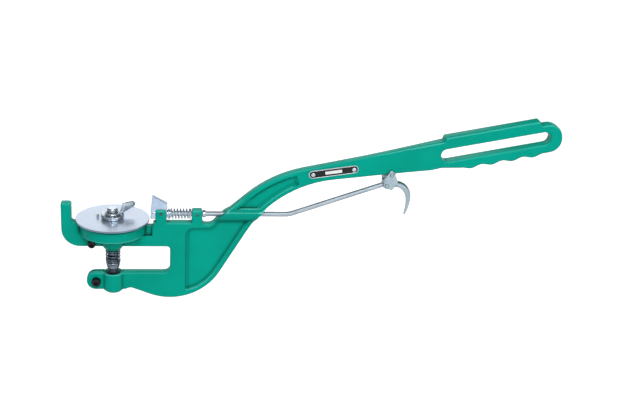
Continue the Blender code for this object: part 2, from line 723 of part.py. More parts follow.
def cut_openings(frame, root):
    """Grip slot, latch slot, bores and screw holes."""
    slot = capsule(grip_point(0, 0), grip_point(SLOT_LENGTH, 0), SLOT_RADIUS)
    tool = to_object("grip_slot_cut", slab(slot, flared_levels(GRIP_THICKNESS / 2, EDGE_RADIUS)), root)
    combine(frame, tool, "DIFFERENCE")

    latch_half = LATCH_THICKNESS / 2 + RUN_GAP
    latch = box_outline(LUG1_LEFT - LUG_FOOT + 0.9 * MM, -0.5 * MM, LUG1_RIGHT + CUT_OVER, LUG_TOP + CUT_OVER)
    tool = to_object("latch_slot_cut", slab(latch, straight_levels(-latch_half, latch_half)), root)
    combine(frame, tool, "DIFFERENCE")

    below = LOWER_BOTTOM - LOWER_BOSS_DROP - CUT_OVER
    spring_floor = LOWER_TOP - LOWER_BOSS_SINK - SPRING_BORE_DEPTH
    bores = (
        ("spindle_bore", BOSS_BOTTOM - CUT_OVER, CUP_TOP + CUT_OVER, BORE_RADIUS),
        ("stud_bore", below, LOWER_TOP, STUD_RADIUS + RUN_GAP),
        ("spring_bore", spring_floor, LOWER_TOP + CUT_OVER, SPRING_BORE_RADIUS),
    )
    for name, low, high, radius in bores:
        combine(frame, to_object(name, rod_between(low, high, radius, ROUND_SIDES), root), "DIFFERENCE")

    slit = box_outline(-LOWER_ARM_REACH - CUT_OVER, below, -STUD_RADIUS / 2, LOWER_TOP + CUT_OVER)
    tool = to_object("pinch_slit", slab(slit, straight_levels(-PINCH_SLIT / 2, PINCH_SLIT / 2)), root)
    combine(frame, tool, "DIFFERENCE")

    along_x = (
        ("rod_bush_hole", LUG2_LEFT - CUT_OVER, LUG2_RIGHT + CUT_OVER, BUSH_RADIUS + RUN_GAP),
        ("rod_hole", LUG2_RIGHT + NOTCH_LENGTH / 2, LATCH_FACE + ROD_BEND_X, ROD_BORE + SEAT_GAP),
    )
    for name, low, high, radius in along_x:
        bar = laid(rod_between(low, high, radius, PIN_SIDES), "X", (0, 0, ROD_HEIGHT))
        combine(frame, to_object(name, bar, root), "DIFFERENCE")

    through = HALF + CUT_OVER
    reach = ROD_BOSS_HALF + CUT_OVER
    lug1_middle = (LUG1_LEFT + LUG1_RIGHT) / 2
    lug2_middle = (LUG2_LEFT + LUG2_RIGHT) / 2
    along_y = (
        ("guide_pin_hole", lug1_middle, GUIDE_PIN_HEIGHT, GUIDE_PIN_RADIUS + RUN_GAP, -through, through),
        ("lock_pin_hole", lug2_middle, ROD_HEIGHT, LOCK_PIN_RADIUS + RUN_GAP, 0.0, through),
        ("pinch_hole", PINCH_X, PINCH_Z, PINCH_RADIUS + RUN_GAP, -through, through),
        ("arm_screw_hole", ARM_SCREW_X, ARM_SCREW_Z, ARM_SCREW_RADIUS + RUN_GAP, -HALF * 0.6, through),
        ("pivot_hole", PIVOT.x, PIVOT.y, PIVOT_RADIUS + RUN_GAP, -reach, reach),
    )
    for name, x, z, radius, low, high in along_y:
        bar = laid(rod_between(low, high, radius, PIN_SIDES), "-Y", (x, 0, z))
        combine(frame, to_object(name, bar, root), "DIFFERENCE")
    for name, place in rivet_places():
        bar = rod_between(HALF - RIVET_LENGTH - SEAT_GAP, HALF + CUT_OVER, RIVET_RADIUS + RUN_GAP, PIN_SIDES)
        bar = laid(bar, "-Y", (place.x, 0, place.y))
        combine(frame, to_object(f"{name}_hole", bar, root), "DIFFERENCE")


def make_frame(root):
    plate = slab(frame_outline(), rounded_levels(HALF, EDGE_RADIUS), depth_share)
    frame = to_object("frame_casting", plate, root)
    cut_pockets(frame, root)
    add_frame_forms(frame, root)
    cut_openings(frame, root)
    paint(frame, finish("green_paint", GREEN, 0.32, 0.0))


def make_spindle(root, axis):
    """Stud, sleeve, disc, washer, nut, spring and seat, all on the spindle."""
    plating = finish("zinc_plate", ZINC, 0.28, 1.0)
    steel = finish("spring_steel", DARK_STEEL, 0.35, 1.0)
    stud_low = LOWER_BOTTOM - LOWER_BOSS_DROP + 1.0 * MM
    stud = rod_between(stud_low, STUD_TOP, STUD_RADIUS, ROUND_SIDES, STUD_CHAMFER)
    paint(to_object("spindle_stud", stud, root), plating)

    sleeve_low = BOSS_BOTTOM - SEAT_GAP
    spigot = SLEEVE_BORE + SLEEVE_SPIGOT_WALL
    sleeve = turned([
        (SLEEVE_BORE, SEAT_GAP), (spigot, SEAT_GAP), (spigot, FLANGE_TOP), (SLEEVE_FLANGE_RADIUS, FLANGE_TOP),
        (SLEEVE_FLANGE_RADIUS, FLANGE_BOTTOM), (SLEEVE_RADIUS, FLANGE_BOTTOM), (SLEEVE_RADIUS, sleeve_low),
        (SLEEVE_BORE, sleeve_low),
    ], ROUND_SIDES, closed=True)
    paint(to_object("disc_sleeve", sleeve, axis), finish("sleeve_bronze", BRONZE, 0.4, 1.0))

    disc_bore = spigot + RUN_GAP
    nut_seat = WASHER_RADIUS + NUT_SEAT_MARGIN
    disc = turned([
        (disc_bore, -NUT_SEAT_DEPTH), (nut_seat, -NUT_SEAT_DEPTH), (nut_seat + NUT_SEAT_DEPTH, 0.0),
        (DISC_RADIUS - DISC_EDGE, 0.0), (DISC_RADIUS, -DISC_EDGE), (DISC_RADIUS, DISC_EDGE - DISC_THICKNESS),
        (DISC_RADIUS - DISC_EDGE, -DISC_THICKNESS), (disc_bore, -DISC_THICKNESS),
    ], FINE_SIDES, closed=True)
    disc = to_object("clamp_disc", disc, axis)
    hole = rod_between(-DISC_THICKNESS - CUT_OVER, CUT_OVER, DISC_PIN_RADIUS + RUN_GAP, PIN_SIDES)
    bmesh.ops.translate(hole, vec=(DISC_PIN_X, DISC_PIN_Y, 0), verts=hole.verts)
    combine(disc, to_object("disc_pin_hole", hole, axis), "DIFFERENCE")
    paint(disc, finish("disc_zinc", ZINC, 0.3, 1.0))
    pin = rod_between(-DISC_THICKNESS, DISC_PIN_HEIGHT, DISC_PIN_RADIUS, PIN_SIDES, 0.4 * MM)
    bmesh.ops.translate(pin, vec=(DISC_PIN_X, DISC_PIN_Y, 0), verts=pin.verts)
    paint(to_object("disc_pin", pin, axis), steel)

    washer_low = 2 * SEAT_GAP
    washer_high = washer_low + WASHER_THICKNESS
    washer = ring(washer_low, washer_high, SLEEVE_BORE, WASHER_RADIUS, ROUND_SIDES)
    paint(to_object("nut_washer", washer, axis), plating)
    make_nut(axis, washer_high + SEAT_GAP)

    spring_high = sleeve_low - SEAT_GAP
    spring_low = spring_high - SPINDLE_SPRING_LENGTH
    spring = coil(spring_low, spring_high, SLEEVE_BORE + RUN_GAP + SPINDLE_WIRE, SPINDLE_WIRE, SPINDLE_TURNS)
    paint(to_object("spindle_spring", spring, root), steel)
    seat_high = spring_low - SEAT_GAP
    outer = SLEEVE_BORE + SEAT_WALL
    seat = turned([
        (SLEEVE_BORE, seat_high), (outer, seat_high), (outer, seat_high - SEAT_LENGTH * 0.2),
        (SLEEVE_BORE + SEAT_WALL * 0.3, seat_high - SEAT_LENGTH), (SLEEVE_BORE, seat_high - SEAT_LENGTH),
    ], ROUND_SIDES, closed=True)
    paint(to_object("spring_seat", seat, root), finish("seat_steel", STEEL, 0.35, 1.0))


def make_nut(axis, low):
    """Flanged round nut with one upswept ear."""
    high = low + NUT_HEIGHT
    shoulder = low + NUT_FLANGE
    bore = SLEEVE_BORE
    edge = 0.5 * MM
    hub = turned([
        (bore, high - edge), (bore + edge, high), (NUT_TOP_RADIUS - edge, high),
        (NUT_TOP_RADIUS, high - edge), (NUT_TOP_RADIUS, shoulder), (NUT_RADIUS - edge, shoulder),
        (NUT_RADIUS, shoulder - edge), (NUT_RADIUS, low), (bore, low),
    ], ROUND_SIDES, closed=True)
    nut = to_object("thumb_nut", hub, axis)
    root_radius = NUT_TOP_RADIUS - 0.9 * MM
    ear = ease([
        (root_radius, low + 0.6 * MM, 0.0), (EAR_ROOT + 3.0 * MM, low + 1.8 * MM, 4.0 * MM),
        (EAR_LENGTH - 2.0 * MM, low + 6.0 * MM, 2.5 * MM), (EAR_LENGTH, EAR_TOP - 3.0 * MM, 1.8 * MM),
        (EAR_LENGTH - 3.0 * MM, EAR_TOP, 1.8 * MM), (EAR_ROOT + 2.0 * MM, EAR_TOP - 0.6 * MM, 2.0 * MM),
        (EAR_ROOT - 0.6 * MM, high - 1.0 * MM, 1.0 * MM), (root_radius, high - 1.0 * MM, 0.0),
    ])
    blade = slab(ear, rounded_levels(EAR_THICKNESS / 2, 0.9 * MM))
    bmesh.ops.rotate(blade, cent=(0, 0, 0), matrix=Matrix.Rotation(EAR_TURN, 3, "Z"), verts=blade.verts)
    combine(nut, to_object("nut_ear_form", blade, axis), "UNION")
    paint(nut, finish("nut_zinc", ZINC, 0.25, 1.0))


def make_screw(name, radius, length, x, z, front, root):
    """Socket-head screw along Y, with its head against the front face."""
    head_radius = radius * HEAD_RATIO
    head_height = 2 * radius
    edge = 0.12 * radius
    seat = -front + SEAT_GAP
    bm = turned([
        (0.0, seat + head_height), (head_radius - edge, seat + head_height),
        (head_radius, seat + head_height - edge), (head_radius, seat), (radius, seat),
        (radius, seat - length), (0.0, seat - length),
    ], ROUND_SIDES)
    screw = to_object(name, laid(bm, "-Y", (x, 0, z)), root)
    top = seat + head_height
    socket = rod_between(top - radius * SOCKET_DEPTH_RATIO, top + CUT_OVER, radius * SOCKET_RATIO, 6)
    combine(screw, to_object(f"{name}_socket", laid(socket, "-Y", (x, 0, z)), root), "DIFFERENCE")
    paint(screw, finish(f"{name}_black", BLACK, 0.4, 0.6))


def make_latch(root, axis):
    """Latch bolt with its rod, collar, spring, bush and pins."""
    plating = finish("latch_zinc", ZINC, 0.3, 1.0)
    foot = 0.0
    right = LATCH_FACE + LATCH_LENGTH
    corners = [
        (LATCH_FACE, foot, 0.8 * MM), (right, foot, 0.8 * MM), (right, LATCH_HEEL, 1.0 * MM),
        (LATCH_FACE + LATCH_LEAN, LATCH_TIP, 1.0 * MM),
    ]
    latch = to_object("latch_bolt", slab(ease(corners), rounded_levels(LATCH_THICKNESS / 2, 0.6 * MM)), axis)
    on_rod = (0, 0, ROD_HEIGHT)
    tail = rod_between(LUG1_RIGHT + SEAT_GAP, TAIL_END, LATCH_TAIL_RADIUS, ROUND_SIDES, 0.4 * MM)
    combine(latch, to_object("latch_tail_form", laid(tail, "X", on_rod), axis), "UNION")
    pin_x = (LUG1_LEFT + LUG1_RIGHT) / 2
    play = GUIDE_PIN_RADIUS + RUN_GAP
    slot = capsule(Vector((pin_x - LATCH_TRAVEL - SEAT_GAP, GUIDE_PIN_HEIGHT)),
                   Vector((pin_x + SEAT_GAP, GUIDE_PIN_HEIGHT)), play)
    tool = to_object("latch_pin_slot", slab(slot, straight_levels(-LATCH_THICKNESS, LATCH_THICKNESS)), axis)
    combine(latch, tool, "DIFFERENCE")
    socket = rod_between(TAIL_END - LATCH_SOCKET, TAIL_END + CUT_OVER, ROD_BORE, PIN_SIDES)
    combine(latch, to_object("latch_socket_cut", laid(socket, "X", on_rod), axis), "DIFFERENCE")
    paint(latch, plating)

    steel = finish("pin_steel", STEEL, 0.4, 1.0)
    pin = rod_between(-HALF + 0.3 * MM, HALF - 0.3 * MM, GUIDE_PIN_RADIUS, PIN_SIDES, 0.3 * MM)
    paint(to_object("latch_guide_pin", laid(pin, "-Y", (pin_x, 0, GUIDE_PIN_HEIGHT)), root), steel)

    spring_ends = (right + SEAT_GAP, LUG2_LEFT - SEAT_GAP)
    spring = coil(*spring_ends, LATCH_SPRING_RADIUS, LATCH_WIRE, LATCH_TURNS, per_turn=9)
    spring = to_object("latch_spring", laid(spring, "X", on_rod), root)
    paint(spring, finish("bright_spring", ZINC, 0.3, 1.0))

    bush = ring(LUG2_LEFT + 0.2 * MM, LUG2_RIGHT - 0.2 * MM, ROD_BORE, BUSH_RADIUS, PIN_SIDES, 0.3 * MM)
    bush = to_object("rod_bush", laid(bush, "X", on_rod), root)
    paint(bush, finish("bush_bronze", BRONZE, 0.4, 1.0))
    lug2_middle = (LUG2_LEFT + LUG2_RIGHT) / 2
    lock = rod_between(BUSH_RADIUS + 0.2 * MM, HALF - 0.2 * MM, LOCK_PIN_RADIUS, PIN_SIDES, 0.1 * MM)
    paint(to_object("bush_lock_pin", laid(lock, "-Y", (lug2_middle, 0, ROD_HEIGHT)), root), steel)

    collar_low = LUG2_RIGHT + SEAT_GAP
    collar_radius = ROD_BORE + COLLAR_WALL
    collar = ring(collar_low, collar_low + COLLAR_LENGTH, ROD_BORE, collar_radius, PIN_SIDES, 0.3 * MM)
    collar = to_object("rod_collar", laid(collar, "X", on_rod), axis)
    middle = collar_low + COLLAR_LENGTH / 2
    hole = rod_between(0.0, collar_radius + CUT_OVER, COLLAR_SCREW_RADIUS + 0.15 * MM, 12)
    bmesh.ops.translate(hole, vec=(middle, 0, ROD_HEIGHT), verts=hole.verts)
    combine(collar, to_object("collar_screw_hole", hole, axis), "DIFFERENCE")
    paint(collar, finish("collar_steel", DARK_STEEL, 0.4, 1.0))
    grub = rod_between(ROD_RADIUS + 0.2 * MM, collar_radius - 0.1 * MM, COLLAR_SCREW_RADIUS, 12, 0.1 * MM)
    bmesh.ops.translate(grub, vec=(middle, 0, ROD_HEIGHT), verts=grub.verts)
    paint(to_object("collar_screw", grub, axis), finish("grub_black", BLACK, 0.4, 0.6))
    make_rod(axis)


def make_rod(axis):
    """Bent round rod from the latch's socket to an eye round the trigger's rod pin."""
    bend = Vector((LATCH_FACE + ROD_BEND_X, ROD_HEIGHT))
    start = (TAIL_END - LATCH_SOCKET + SEAT_GAP, ROD_HEIGHT, 0.0)
    eye_radius = ROD_PIN_RADIUS + ROD_EYE_PLAY + ROD_EYE_WALL
    slope = (ROD_PIN - bend).normalized()
    last = ROD_PIN - slope * (eye_radius - ROD_EYE_WALL / 2)
    path = ease([start, (bend.x, bend.y, ROD_BEND_RADIUS), (last.x, last.y, 0.0)], closed=False)
    bm = bmesh.new()
    rings = []
    for i, here in enumerate(path):
        along = (path[min(i + 1, len(path) - 1)] - path[max(i - 1, 0)]).normalized()
        section = []
        for s in range(PIN_SIDES):
            a = 2 * math.pi * s / PIN_SIDES
            out = Vector((-along.y, along.x)) * ROD_RADIUS * math.cos(a)
            section.append(bm.verts.new((here.x + out.x, ROD_RADIUS * math.sin(a), here.y + out.y)))
        rings.append(section)
    for here, following in zip(rings, rings[1:]):
        for s in range(PIN_SIDES):
            t = (s + 1) % PIN_SIDES
            bm.faces.new((here[s], here[t], following[t], following[s]))
    bm.faces.new(rings[0])
    bm.faces.new(rings[-1])
    rod = to_object("pull_rod", bm, axis)
    half = ROD_EYE_LENGTH / 2
    eye = laid(ring(-half, half, ROD_PIN_RADIUS + ROD_EYE_PLAY, eye_radius, ROUND_SIDES, 0.5 * MM), "-Y",
               (ROD_PIN.x, 0, ROD_PIN.y))
    combine(rod, to_object("rod_eye_form", eye, axis), "UNION")
    paint(rod, finish("rod_zinc", ZINC, 0.25, 1.0))


def claw_form():
    """Round tapered claw along a Bezier curve that starts in the trigger's fork."""
    a, b, c, d = (PIVOT + Vector(p) * MM for p in CLAW_CURVE)
    bm = bmesh.new()
    rings = []
    for k in range(CLAW_STEPS + 2):
        t = min(k / CLAW_STEPS, 1.0)
        u = 1 - t
        middle = a * u ** 3 + b * 3 * u * u * t + c * 3 * u * t * t + d * t ** 3
        along = ((b - a) * u * u + (c - b) * 2 * u * t + (d - c) * t * t).normalized()
        half = (CLAW_TIP + (CLAW_ROOT - CLAW_TIP) * (1 - t ** 3)) / 2
        depth = CLAW_THICKNESS / 2 * (1 - CLAW_THINNING * t ** 2)
        if k > CLAW_STEPS:
            middle = middle + along * CLAW_TIP / 2
            half, depth = half / 2, depth / 2
        across = Vector((-along.y, along.x)) * half
        section = []
        for s in range(CLAW_SIDES):
            turn = 2 * math.pi * s / CLAW_SIDES
            out = middle + across * math.cos(turn)
            section.append(bm.verts.new((out.x, depth * math.sin(turn), out.y)))
        rings.append(section)
    for here, following in zip(rings, rings[1:]):
        for s in range(CLAW_SIDES):
            t = (s + 1) % CLAW_SIDES
            bm.faces.new((here[s], here[t], following[t], following[s]))
    bm.faces.new(rings[0])
    bm.faces.new(rings[-1])
    return bm


def make_trigger(root, axis):
    """Forked trigger with its claw, its pivot pin and the rod's pin."""
    inner = HALF + SEAT_GAP
    outer = inner + CHEEK_THICKNESS
    corners = [(PIVOT.x + x, PIVOT.y + z, radius) for x, z, radius in CHEEK_CORNERS]
    trigger = to_object("trigger", slab(ease(corners), rounded_levels(outer, CHEEK_EDGE)), axis)
    web_left = ROD_PIN.x + ROD_PIN_RADIUS + ROD_EYE_PLAY + ROD_EYE_WALL + 2 * SEAT_GAP + ROD_EYE_PLAY
    web_top = PIVOT.y - PIVOT_LUG_RADIUS - 1.6 * MM
    far = 40 * MM
    left, right = PIVOT.x - far, PIVOT.x + far
    low, high = PIVOT.y - far, PIVOT.y + far
    fork = ((left, low), (web_left, low), (web_left, web_top), (right, web_top), (right, high), (left, high))
    fork_gap = slab([Vector(p) for p in fork], straight_levels(-inner, inner))
    combine(trigger, to_object("fork_gap", fork_gap, axis), "DIFFERENCE")
    combine(trigger, to_object("claw_form", claw_form(), axis), "UNION")
    holes = (("trigger_pivot_hole", PIVOT, PIVOT_RADIUS), ("trigger_rod_hole", ROD_PIN, ROD_PIN_RADIUS))
    for name, place, radius in holes:
        bar = rod_between(-outer - CUT_OVER, outer + CUT_OVER, radius + RUN_GAP, PIN_SIDES)
        combine(trigger, to_object(name, laid(bar, "-Y", (place.x, 0, place.y)), axis), "DIFFERENCE")
    paint(trigger, finish("trigger_zinc", STEEL, 0.4, 1.0))

    steel = finish("trigger_pin_steel", STEEL, 0.35, 1.0)
    reach = outer + 0.4 * MM
    pivot = rod_between(-reach, reach, PIVOT_RADIUS, PIN_SIDES, 0.4 * MM)
    paint(to_object("trigger_pivot_pin", laid(pivot, "-Y", (PIVOT.x, 0, PIVOT.y)), root), steel)
    pin = rod_between(-reach, reach, ROD_PIN_RADIUS, PIN_SIDES, 0.4 * MM)
    paint(to_object("rod_pin", laid(pin, "-Y", (ROD_PIN.x, 0, ROD_PIN.y)), axis), steel)


def rivet_places():
    along = Vector((math.cos(PLATE_TILT), math.sin(PLATE_TILT))) * RIVET_SPAN / 2
    centre = Vector((LATCH_FACE + PLATE_X, PLATE_Z))
    return (("nameplate_rivet_left", centre - along), ("nameplate_rivet_right", centre + along))


def make_nameplate(root):
    """Blank plate with round ends, held by two rivets."""
    centre = Vector((LATCH_FACE + PLATE_X, PLATE_Z))
    reach = Vector((math.cos(PLATE_TILT), math.sin(PLATE_TILT))) * (PLATE_LENGTH - PLATE_WIDTH) / 2
    outline = capsule(centre - reach, centre + reach, PLATE_WIDTH / 2)
    back = HALF + SEAT_GAP
    front = back + PLATE_THICKNESS
    levels = [(-front, 0.25 * MM), (-front + 0.25 * MM, 0.0), (-back, 0.0)]
    plate = to_object("nameplate", slab(outline, levels), root)
    rivet_steel = finish("rivet_zinc", ZINC, 0.3, 1.0)
    for name, place in rivet_places():
        bar = rod_between(0.0, front + CUT_OVER, RIVET_RADIUS + RUN_GAP, PIN_SIDES)
        bar = laid(bar, "-Y", (place.x, 0, place.y))
        combine(plate, to_object(f"{name}_plate_hole", bar, root), "DIFFERENCE")
        seat = front + SEAT_GAP
        rivet = turned([
            (0.0, seat + RIVET_HEAD), (RIVET_HEAD_RADIUS * 0.55, seat + RIVET_HEAD * 0.85),
            (RIVET_HEAD_RADIUS, seat + RIVET_HEAD * 0.2), (RIVET_HEAD_RADIUS, seat), (RIVET_RADIUS, seat),
            (RIVET_RADIUS, HALF - RIVET_LENGTH), (0.0, HALF - RIVET_LENGTH),
        ], PIN_SIDES)
        paint(to_object(name, laid(rivet, "-Y", (place.x, 0, place.y)), root), rivet_steel)
    paint(plate, finish("plate_black", BLACK, 0.35, 0.3))


def main():
    clear_scene()
    middle = grip_point(SLOT_LENGTH / 2, 0)
    root = empty("tool_root", (-middle.x, 0, -middle.y))
    spindle_axis = empty("spindle_axis", (0, 0, 0), root)
    latch_axis = empty("latch_axis", (LATCH_FACE, 0, ROD_HEIGHT), root)
    trigger_axis = empty("trigger_axis", (PIVOT.x, 0, PIVOT.y), root)
    make_frame(root)
    make_spindle(root, spindle_axis)
    make_screw("pinch_screw", PINCH_RADIUS, HEAD_THICKNESS - 0.5 * MM, PINCH_X, PINCH_Z, -HALF, root)
    make_screw("arm_screw", ARM_SCREW_RADIUS, HALF, ARM_SCREW_X, ARM_SCREW_Z, -HALF, root)
    make_latch(root, latch_axis)
    make_trigger(root, trigger_axis)
    make_nameplate(root)


main()
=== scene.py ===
"""Looks of the strapping tensioner: painted casting, plated fittings, springs, thread and nameplate."""
import json
import math

import bmesh
import bpy
from mathutils import Matrix, Vector


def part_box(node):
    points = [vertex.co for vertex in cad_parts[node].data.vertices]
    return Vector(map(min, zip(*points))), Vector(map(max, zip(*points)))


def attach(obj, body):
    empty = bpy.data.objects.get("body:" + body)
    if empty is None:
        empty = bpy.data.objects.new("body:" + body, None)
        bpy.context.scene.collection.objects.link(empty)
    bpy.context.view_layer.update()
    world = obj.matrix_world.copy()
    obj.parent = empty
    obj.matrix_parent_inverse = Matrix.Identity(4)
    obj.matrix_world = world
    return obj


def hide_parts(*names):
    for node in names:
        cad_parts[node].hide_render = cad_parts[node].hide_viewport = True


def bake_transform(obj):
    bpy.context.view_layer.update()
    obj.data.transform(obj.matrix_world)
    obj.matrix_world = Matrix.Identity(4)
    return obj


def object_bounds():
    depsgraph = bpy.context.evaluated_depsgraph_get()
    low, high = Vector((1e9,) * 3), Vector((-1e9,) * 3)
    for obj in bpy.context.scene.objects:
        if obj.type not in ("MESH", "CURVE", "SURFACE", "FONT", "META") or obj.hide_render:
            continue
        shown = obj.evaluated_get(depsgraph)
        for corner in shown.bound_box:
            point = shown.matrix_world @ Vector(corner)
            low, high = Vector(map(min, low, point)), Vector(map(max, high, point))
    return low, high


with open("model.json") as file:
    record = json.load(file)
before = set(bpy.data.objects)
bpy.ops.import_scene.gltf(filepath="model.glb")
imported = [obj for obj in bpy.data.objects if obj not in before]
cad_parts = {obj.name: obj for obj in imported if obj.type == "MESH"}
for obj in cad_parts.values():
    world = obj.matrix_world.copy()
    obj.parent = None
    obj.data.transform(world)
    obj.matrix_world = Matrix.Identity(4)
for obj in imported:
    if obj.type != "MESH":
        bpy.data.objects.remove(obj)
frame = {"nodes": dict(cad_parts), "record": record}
cad_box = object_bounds()

MM = 0.001
NODES = frame["nodes"]
BODY_OF = {node: body for body, members in frame["record"]["behaviour"]["bodies"].items() for node in members}

# Where the tool's axes lie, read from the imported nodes
DISC_LOW, DISC_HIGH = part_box("clamp_disc")
SPINDLE = Vector(((DISC_LOW.x + DISC_HIGH.x) / 2, 0.0, DISC_HIGH.z))
COLLAR_LOW, COLLAR_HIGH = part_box("rod_collar")
ROD_AXIS_Z = (COLLAR_LOW.z + COLLAR_HIGH.z) / 2
PLATE_LOW, PLATE_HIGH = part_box("nameplate")
PLATE_TILT = math.radians(8.6)


def linear(code):
    """sRGB hex to a linear colour."""
    shares = [int(code[i:i + 2], 16) / 255 for i in (1, 3, 5)]
    return [c / 12.92 if c <= 0.04045 else ((c + 0.055) / 1.055) ** 2.4 for c in shares] + [1.0]


def add(tree, kind, links=None, **settings):
    """Adds a node with its settings. A link is a value, a node (its first output) or a node's output."""
    made = tree.nodes.new(kind)
    for name, value in settings.items():
        setattr(made, name, value)
    for socket, value in (links or {}).items():
        if isinstance(value, bpy.types.Node):
            value = next(output for output in value.outputs if output.enabled)
        if isinstance(value, bpy.types.NodeSocket):
            tree.links.new(value, made.inputs[socket])
        else:
            made.inputs[socket].default_value = value
    return made


def begin(name):
    """A new material, its emptied tree, and the place on the piece that its patterns read."""
    made = bpy.data.materials.new(name)
    made.use_nodes = True
    made.node_tree.nodes.clear()
    return made, made.node_tree, add(made.node_tree, "ShaderNodeTexCoord").outputs["Object"]


def close(made, sockets):
    """Closes a material. Values that are even all over are set on the shader's own sockets."""
    shader = add(made.node_tree, "ShaderNodeBsdfPrincipled", sockets)
    add(made.node_tree, "ShaderNodeOutputMaterial", {"Surface": shader})
    return made


def sea_green_enamel():
    """Gloss enamel sprayed on an iron casting: even sea green, soft orange peel, slow waves of the sand mould
    under it, a painted highlight on upper rounded edges, and painted shade on lower edges, in corners and round the
    top of the cup under the disc."""
    made, tree, place = begin("sea_green_enamel_on_sand_casting")
    # Paint thickness drifts over about 60 mm and shows as a slight change of tone
    drift = add(tree, "ShaderNodeTexNoise", {"Vector": place, "Scale": 1 / (60 * MM), "Detail": 2.0})
    thick = add(tree, "ShaderNodeMapRange", {"Value": drift, "From Min": 0.3, "From Max": 0.7})
    coat = add(tree, "ShaderNodeMix", {0: thick, 6: linear("#009581"), 7: linear("#00A08D")},
               data_type="RGBA")
    # Painted shade: the paint is darker in corners and creases, up to 4.5 mm from them
    hollow = add(tree, "ShaderNodeAmbientOcclusion", {"Distance": 4.5 * MM}, only_local=True, samples=8)
    painted_corner_shade = add(tree, "ShaderNodeMapRange", {"Value": hollow.outputs["AO"], "From Min": 0.7,
                                              "From Max": 0.98,
                                              "To Min": 1.0, "To Max": 0.0})
    coat = add(tree, "ShaderNodeMix", {0: painted_corner_shade, 6: coat, 7: linear("#00503F")}, data_type="RGBA")
    # Painted highlight: upper rounded edges are coloured pale, and lower rounded edges darker as painted shade
    lean = add(tree, "ShaderNodeSeparateXYZ", {0: add(tree, "ShaderNodeTexCoord").outputs["Normal"]}).outputs
    sideways = add(tree, "ShaderNodeMath", {0: lean["Y"]}, operation="ABSOLUTE")
    rounding = add(tree, "ShaderNodeMapRange", {"Value": sideways, "From Min": 0.3, "From Max": 0.6})
    upper = add(tree, "ShaderNodeMapRange", {"Value": lean["Z"], "From Min": 0.3, "From Max": 0.6})
    sloping = add(tree, "ShaderNodeMath", {0: rounding, 1: upper}, operation="MULTIPLY")
    behind = add(tree, "ShaderNodeAmbientOcclusion", {"Distance": 4.0 * MM}, only_local=True, inside=True,
                 samples=8)
    edge = add(tree, "ShaderNodeMapRange", {"Value": behind.outputs["AO"], "From Min": 0.75, "From Max": 0.97,
                                            "To Min": 1.0, "To Max": 0.0})
    painted_edge_highlight = add(tree, "ShaderNodeMath", {0: sloping, 1: edge}, operation="MULTIPLY")
    coat = add(tree, "ShaderNodeMix", {0: painted_edge_highlight, 6: coat, 7: linear("#58CBBC")}, data_type="RGBA")
    # Painted shade: the lower rounded edges are darker
    lower = add(tree, "ShaderNodeMapRange", {"Value": lean["Z"], "From Min": -0.6, "From Max": -0.3,
                                             "To Min": 0.5, "To Max": 0.0})
    painted_lower_edge_shade = add(tree, "ShaderNodeMath", {0: rounding, 1: lower}, operation="MULTIPLY")
    coat = add(tree, "ShaderNodeMix", {0: painted_lower_edge_shade, 6: coat, 7: linear("#006B5A")}, data_type="RGBA")
    # Painted shadow round the top of the cup, close under the disc
    from_axis = add(tree, "ShaderNodeVectorMath", {0: place, 1: SPINDLE}, operation="SUBTRACT")
    aside = add(tree, "ShaderNodeSeparateXYZ", {0: from_axis}).outputs
    level = add(tree, "ShaderNodeCombineXYZ", {"X": aside["X"], "Y": aside["Y"]})
    reach = add(tree, "ShaderNodeVectorMath", {0: level}, operation="LENGTH").outputs["Value"]
    near = add(tree, "ShaderNodeMath", {0: reach, 1: 36 * MM}, operation="LESS_THAN")
    under = add(tree, "ShaderNodeMapRange", {"Value": aside["Z"], "From Min": -5.8 * MM,
                                             "From Max": -4.4 * MM})
    painted_shadow_under_disc = add(tree, "ShaderNodeMath", {0: near, 1: under}, operation="MULTIPLY")
    coat = add(tree, "ShaderNodeMix", {0: painted_shadow_under_disc, 6: coat, 7: linear("#00453A")}, data_type="RGBA")
    # Dull patches from handling, about 25 mm across
    patch = add(tree, "ShaderNodeTexNoise", {"Vector": place, "Scale": 1 / (25 * MM), "Detail": 4.0})
    dull = add(tree, "ShaderNodeMapRange", {"Value": patch, "From Min": 0.3, "From Max": 0.7,
                                            "To Min": 0.17, "To Max": 0.25})
    # Mould waves 14 mm long, then orange peel, which is 0.8 mm on the real paint and drawn at 2 mm to show
    rounded = add(tree, "ShaderNodeBevel", {"Radius": 1.0 * MM}, samples=8)
    waves = add(tree, "ShaderNodeTexNoise", {"Vector": place, "Scale": 1 / (14 * MM), "Detail": 1.0})
    wavy = add(tree, "ShaderNodeBump", {"Height": waves, "Normal": rounded, "Distance": 0.10 * MM,
                                        "Strength": 0.5})
    peel = add(tree, "ShaderNodeTexNoise", {"Vector": place, "Scale": 1 / (2 * MM), "Detail": 1.0})
    peeled = add(tree, "ShaderNodeBump", {"Height": peel, "Normal": wavy, "Distance": 0.012 * MM,
                                          "Strength": 0.5})
    return close(made, {"Base Color": coat, "Roughness": dull, "Normal": peeled, "IOR": 1.5,
                        "Specular IOR Level": 0.04})


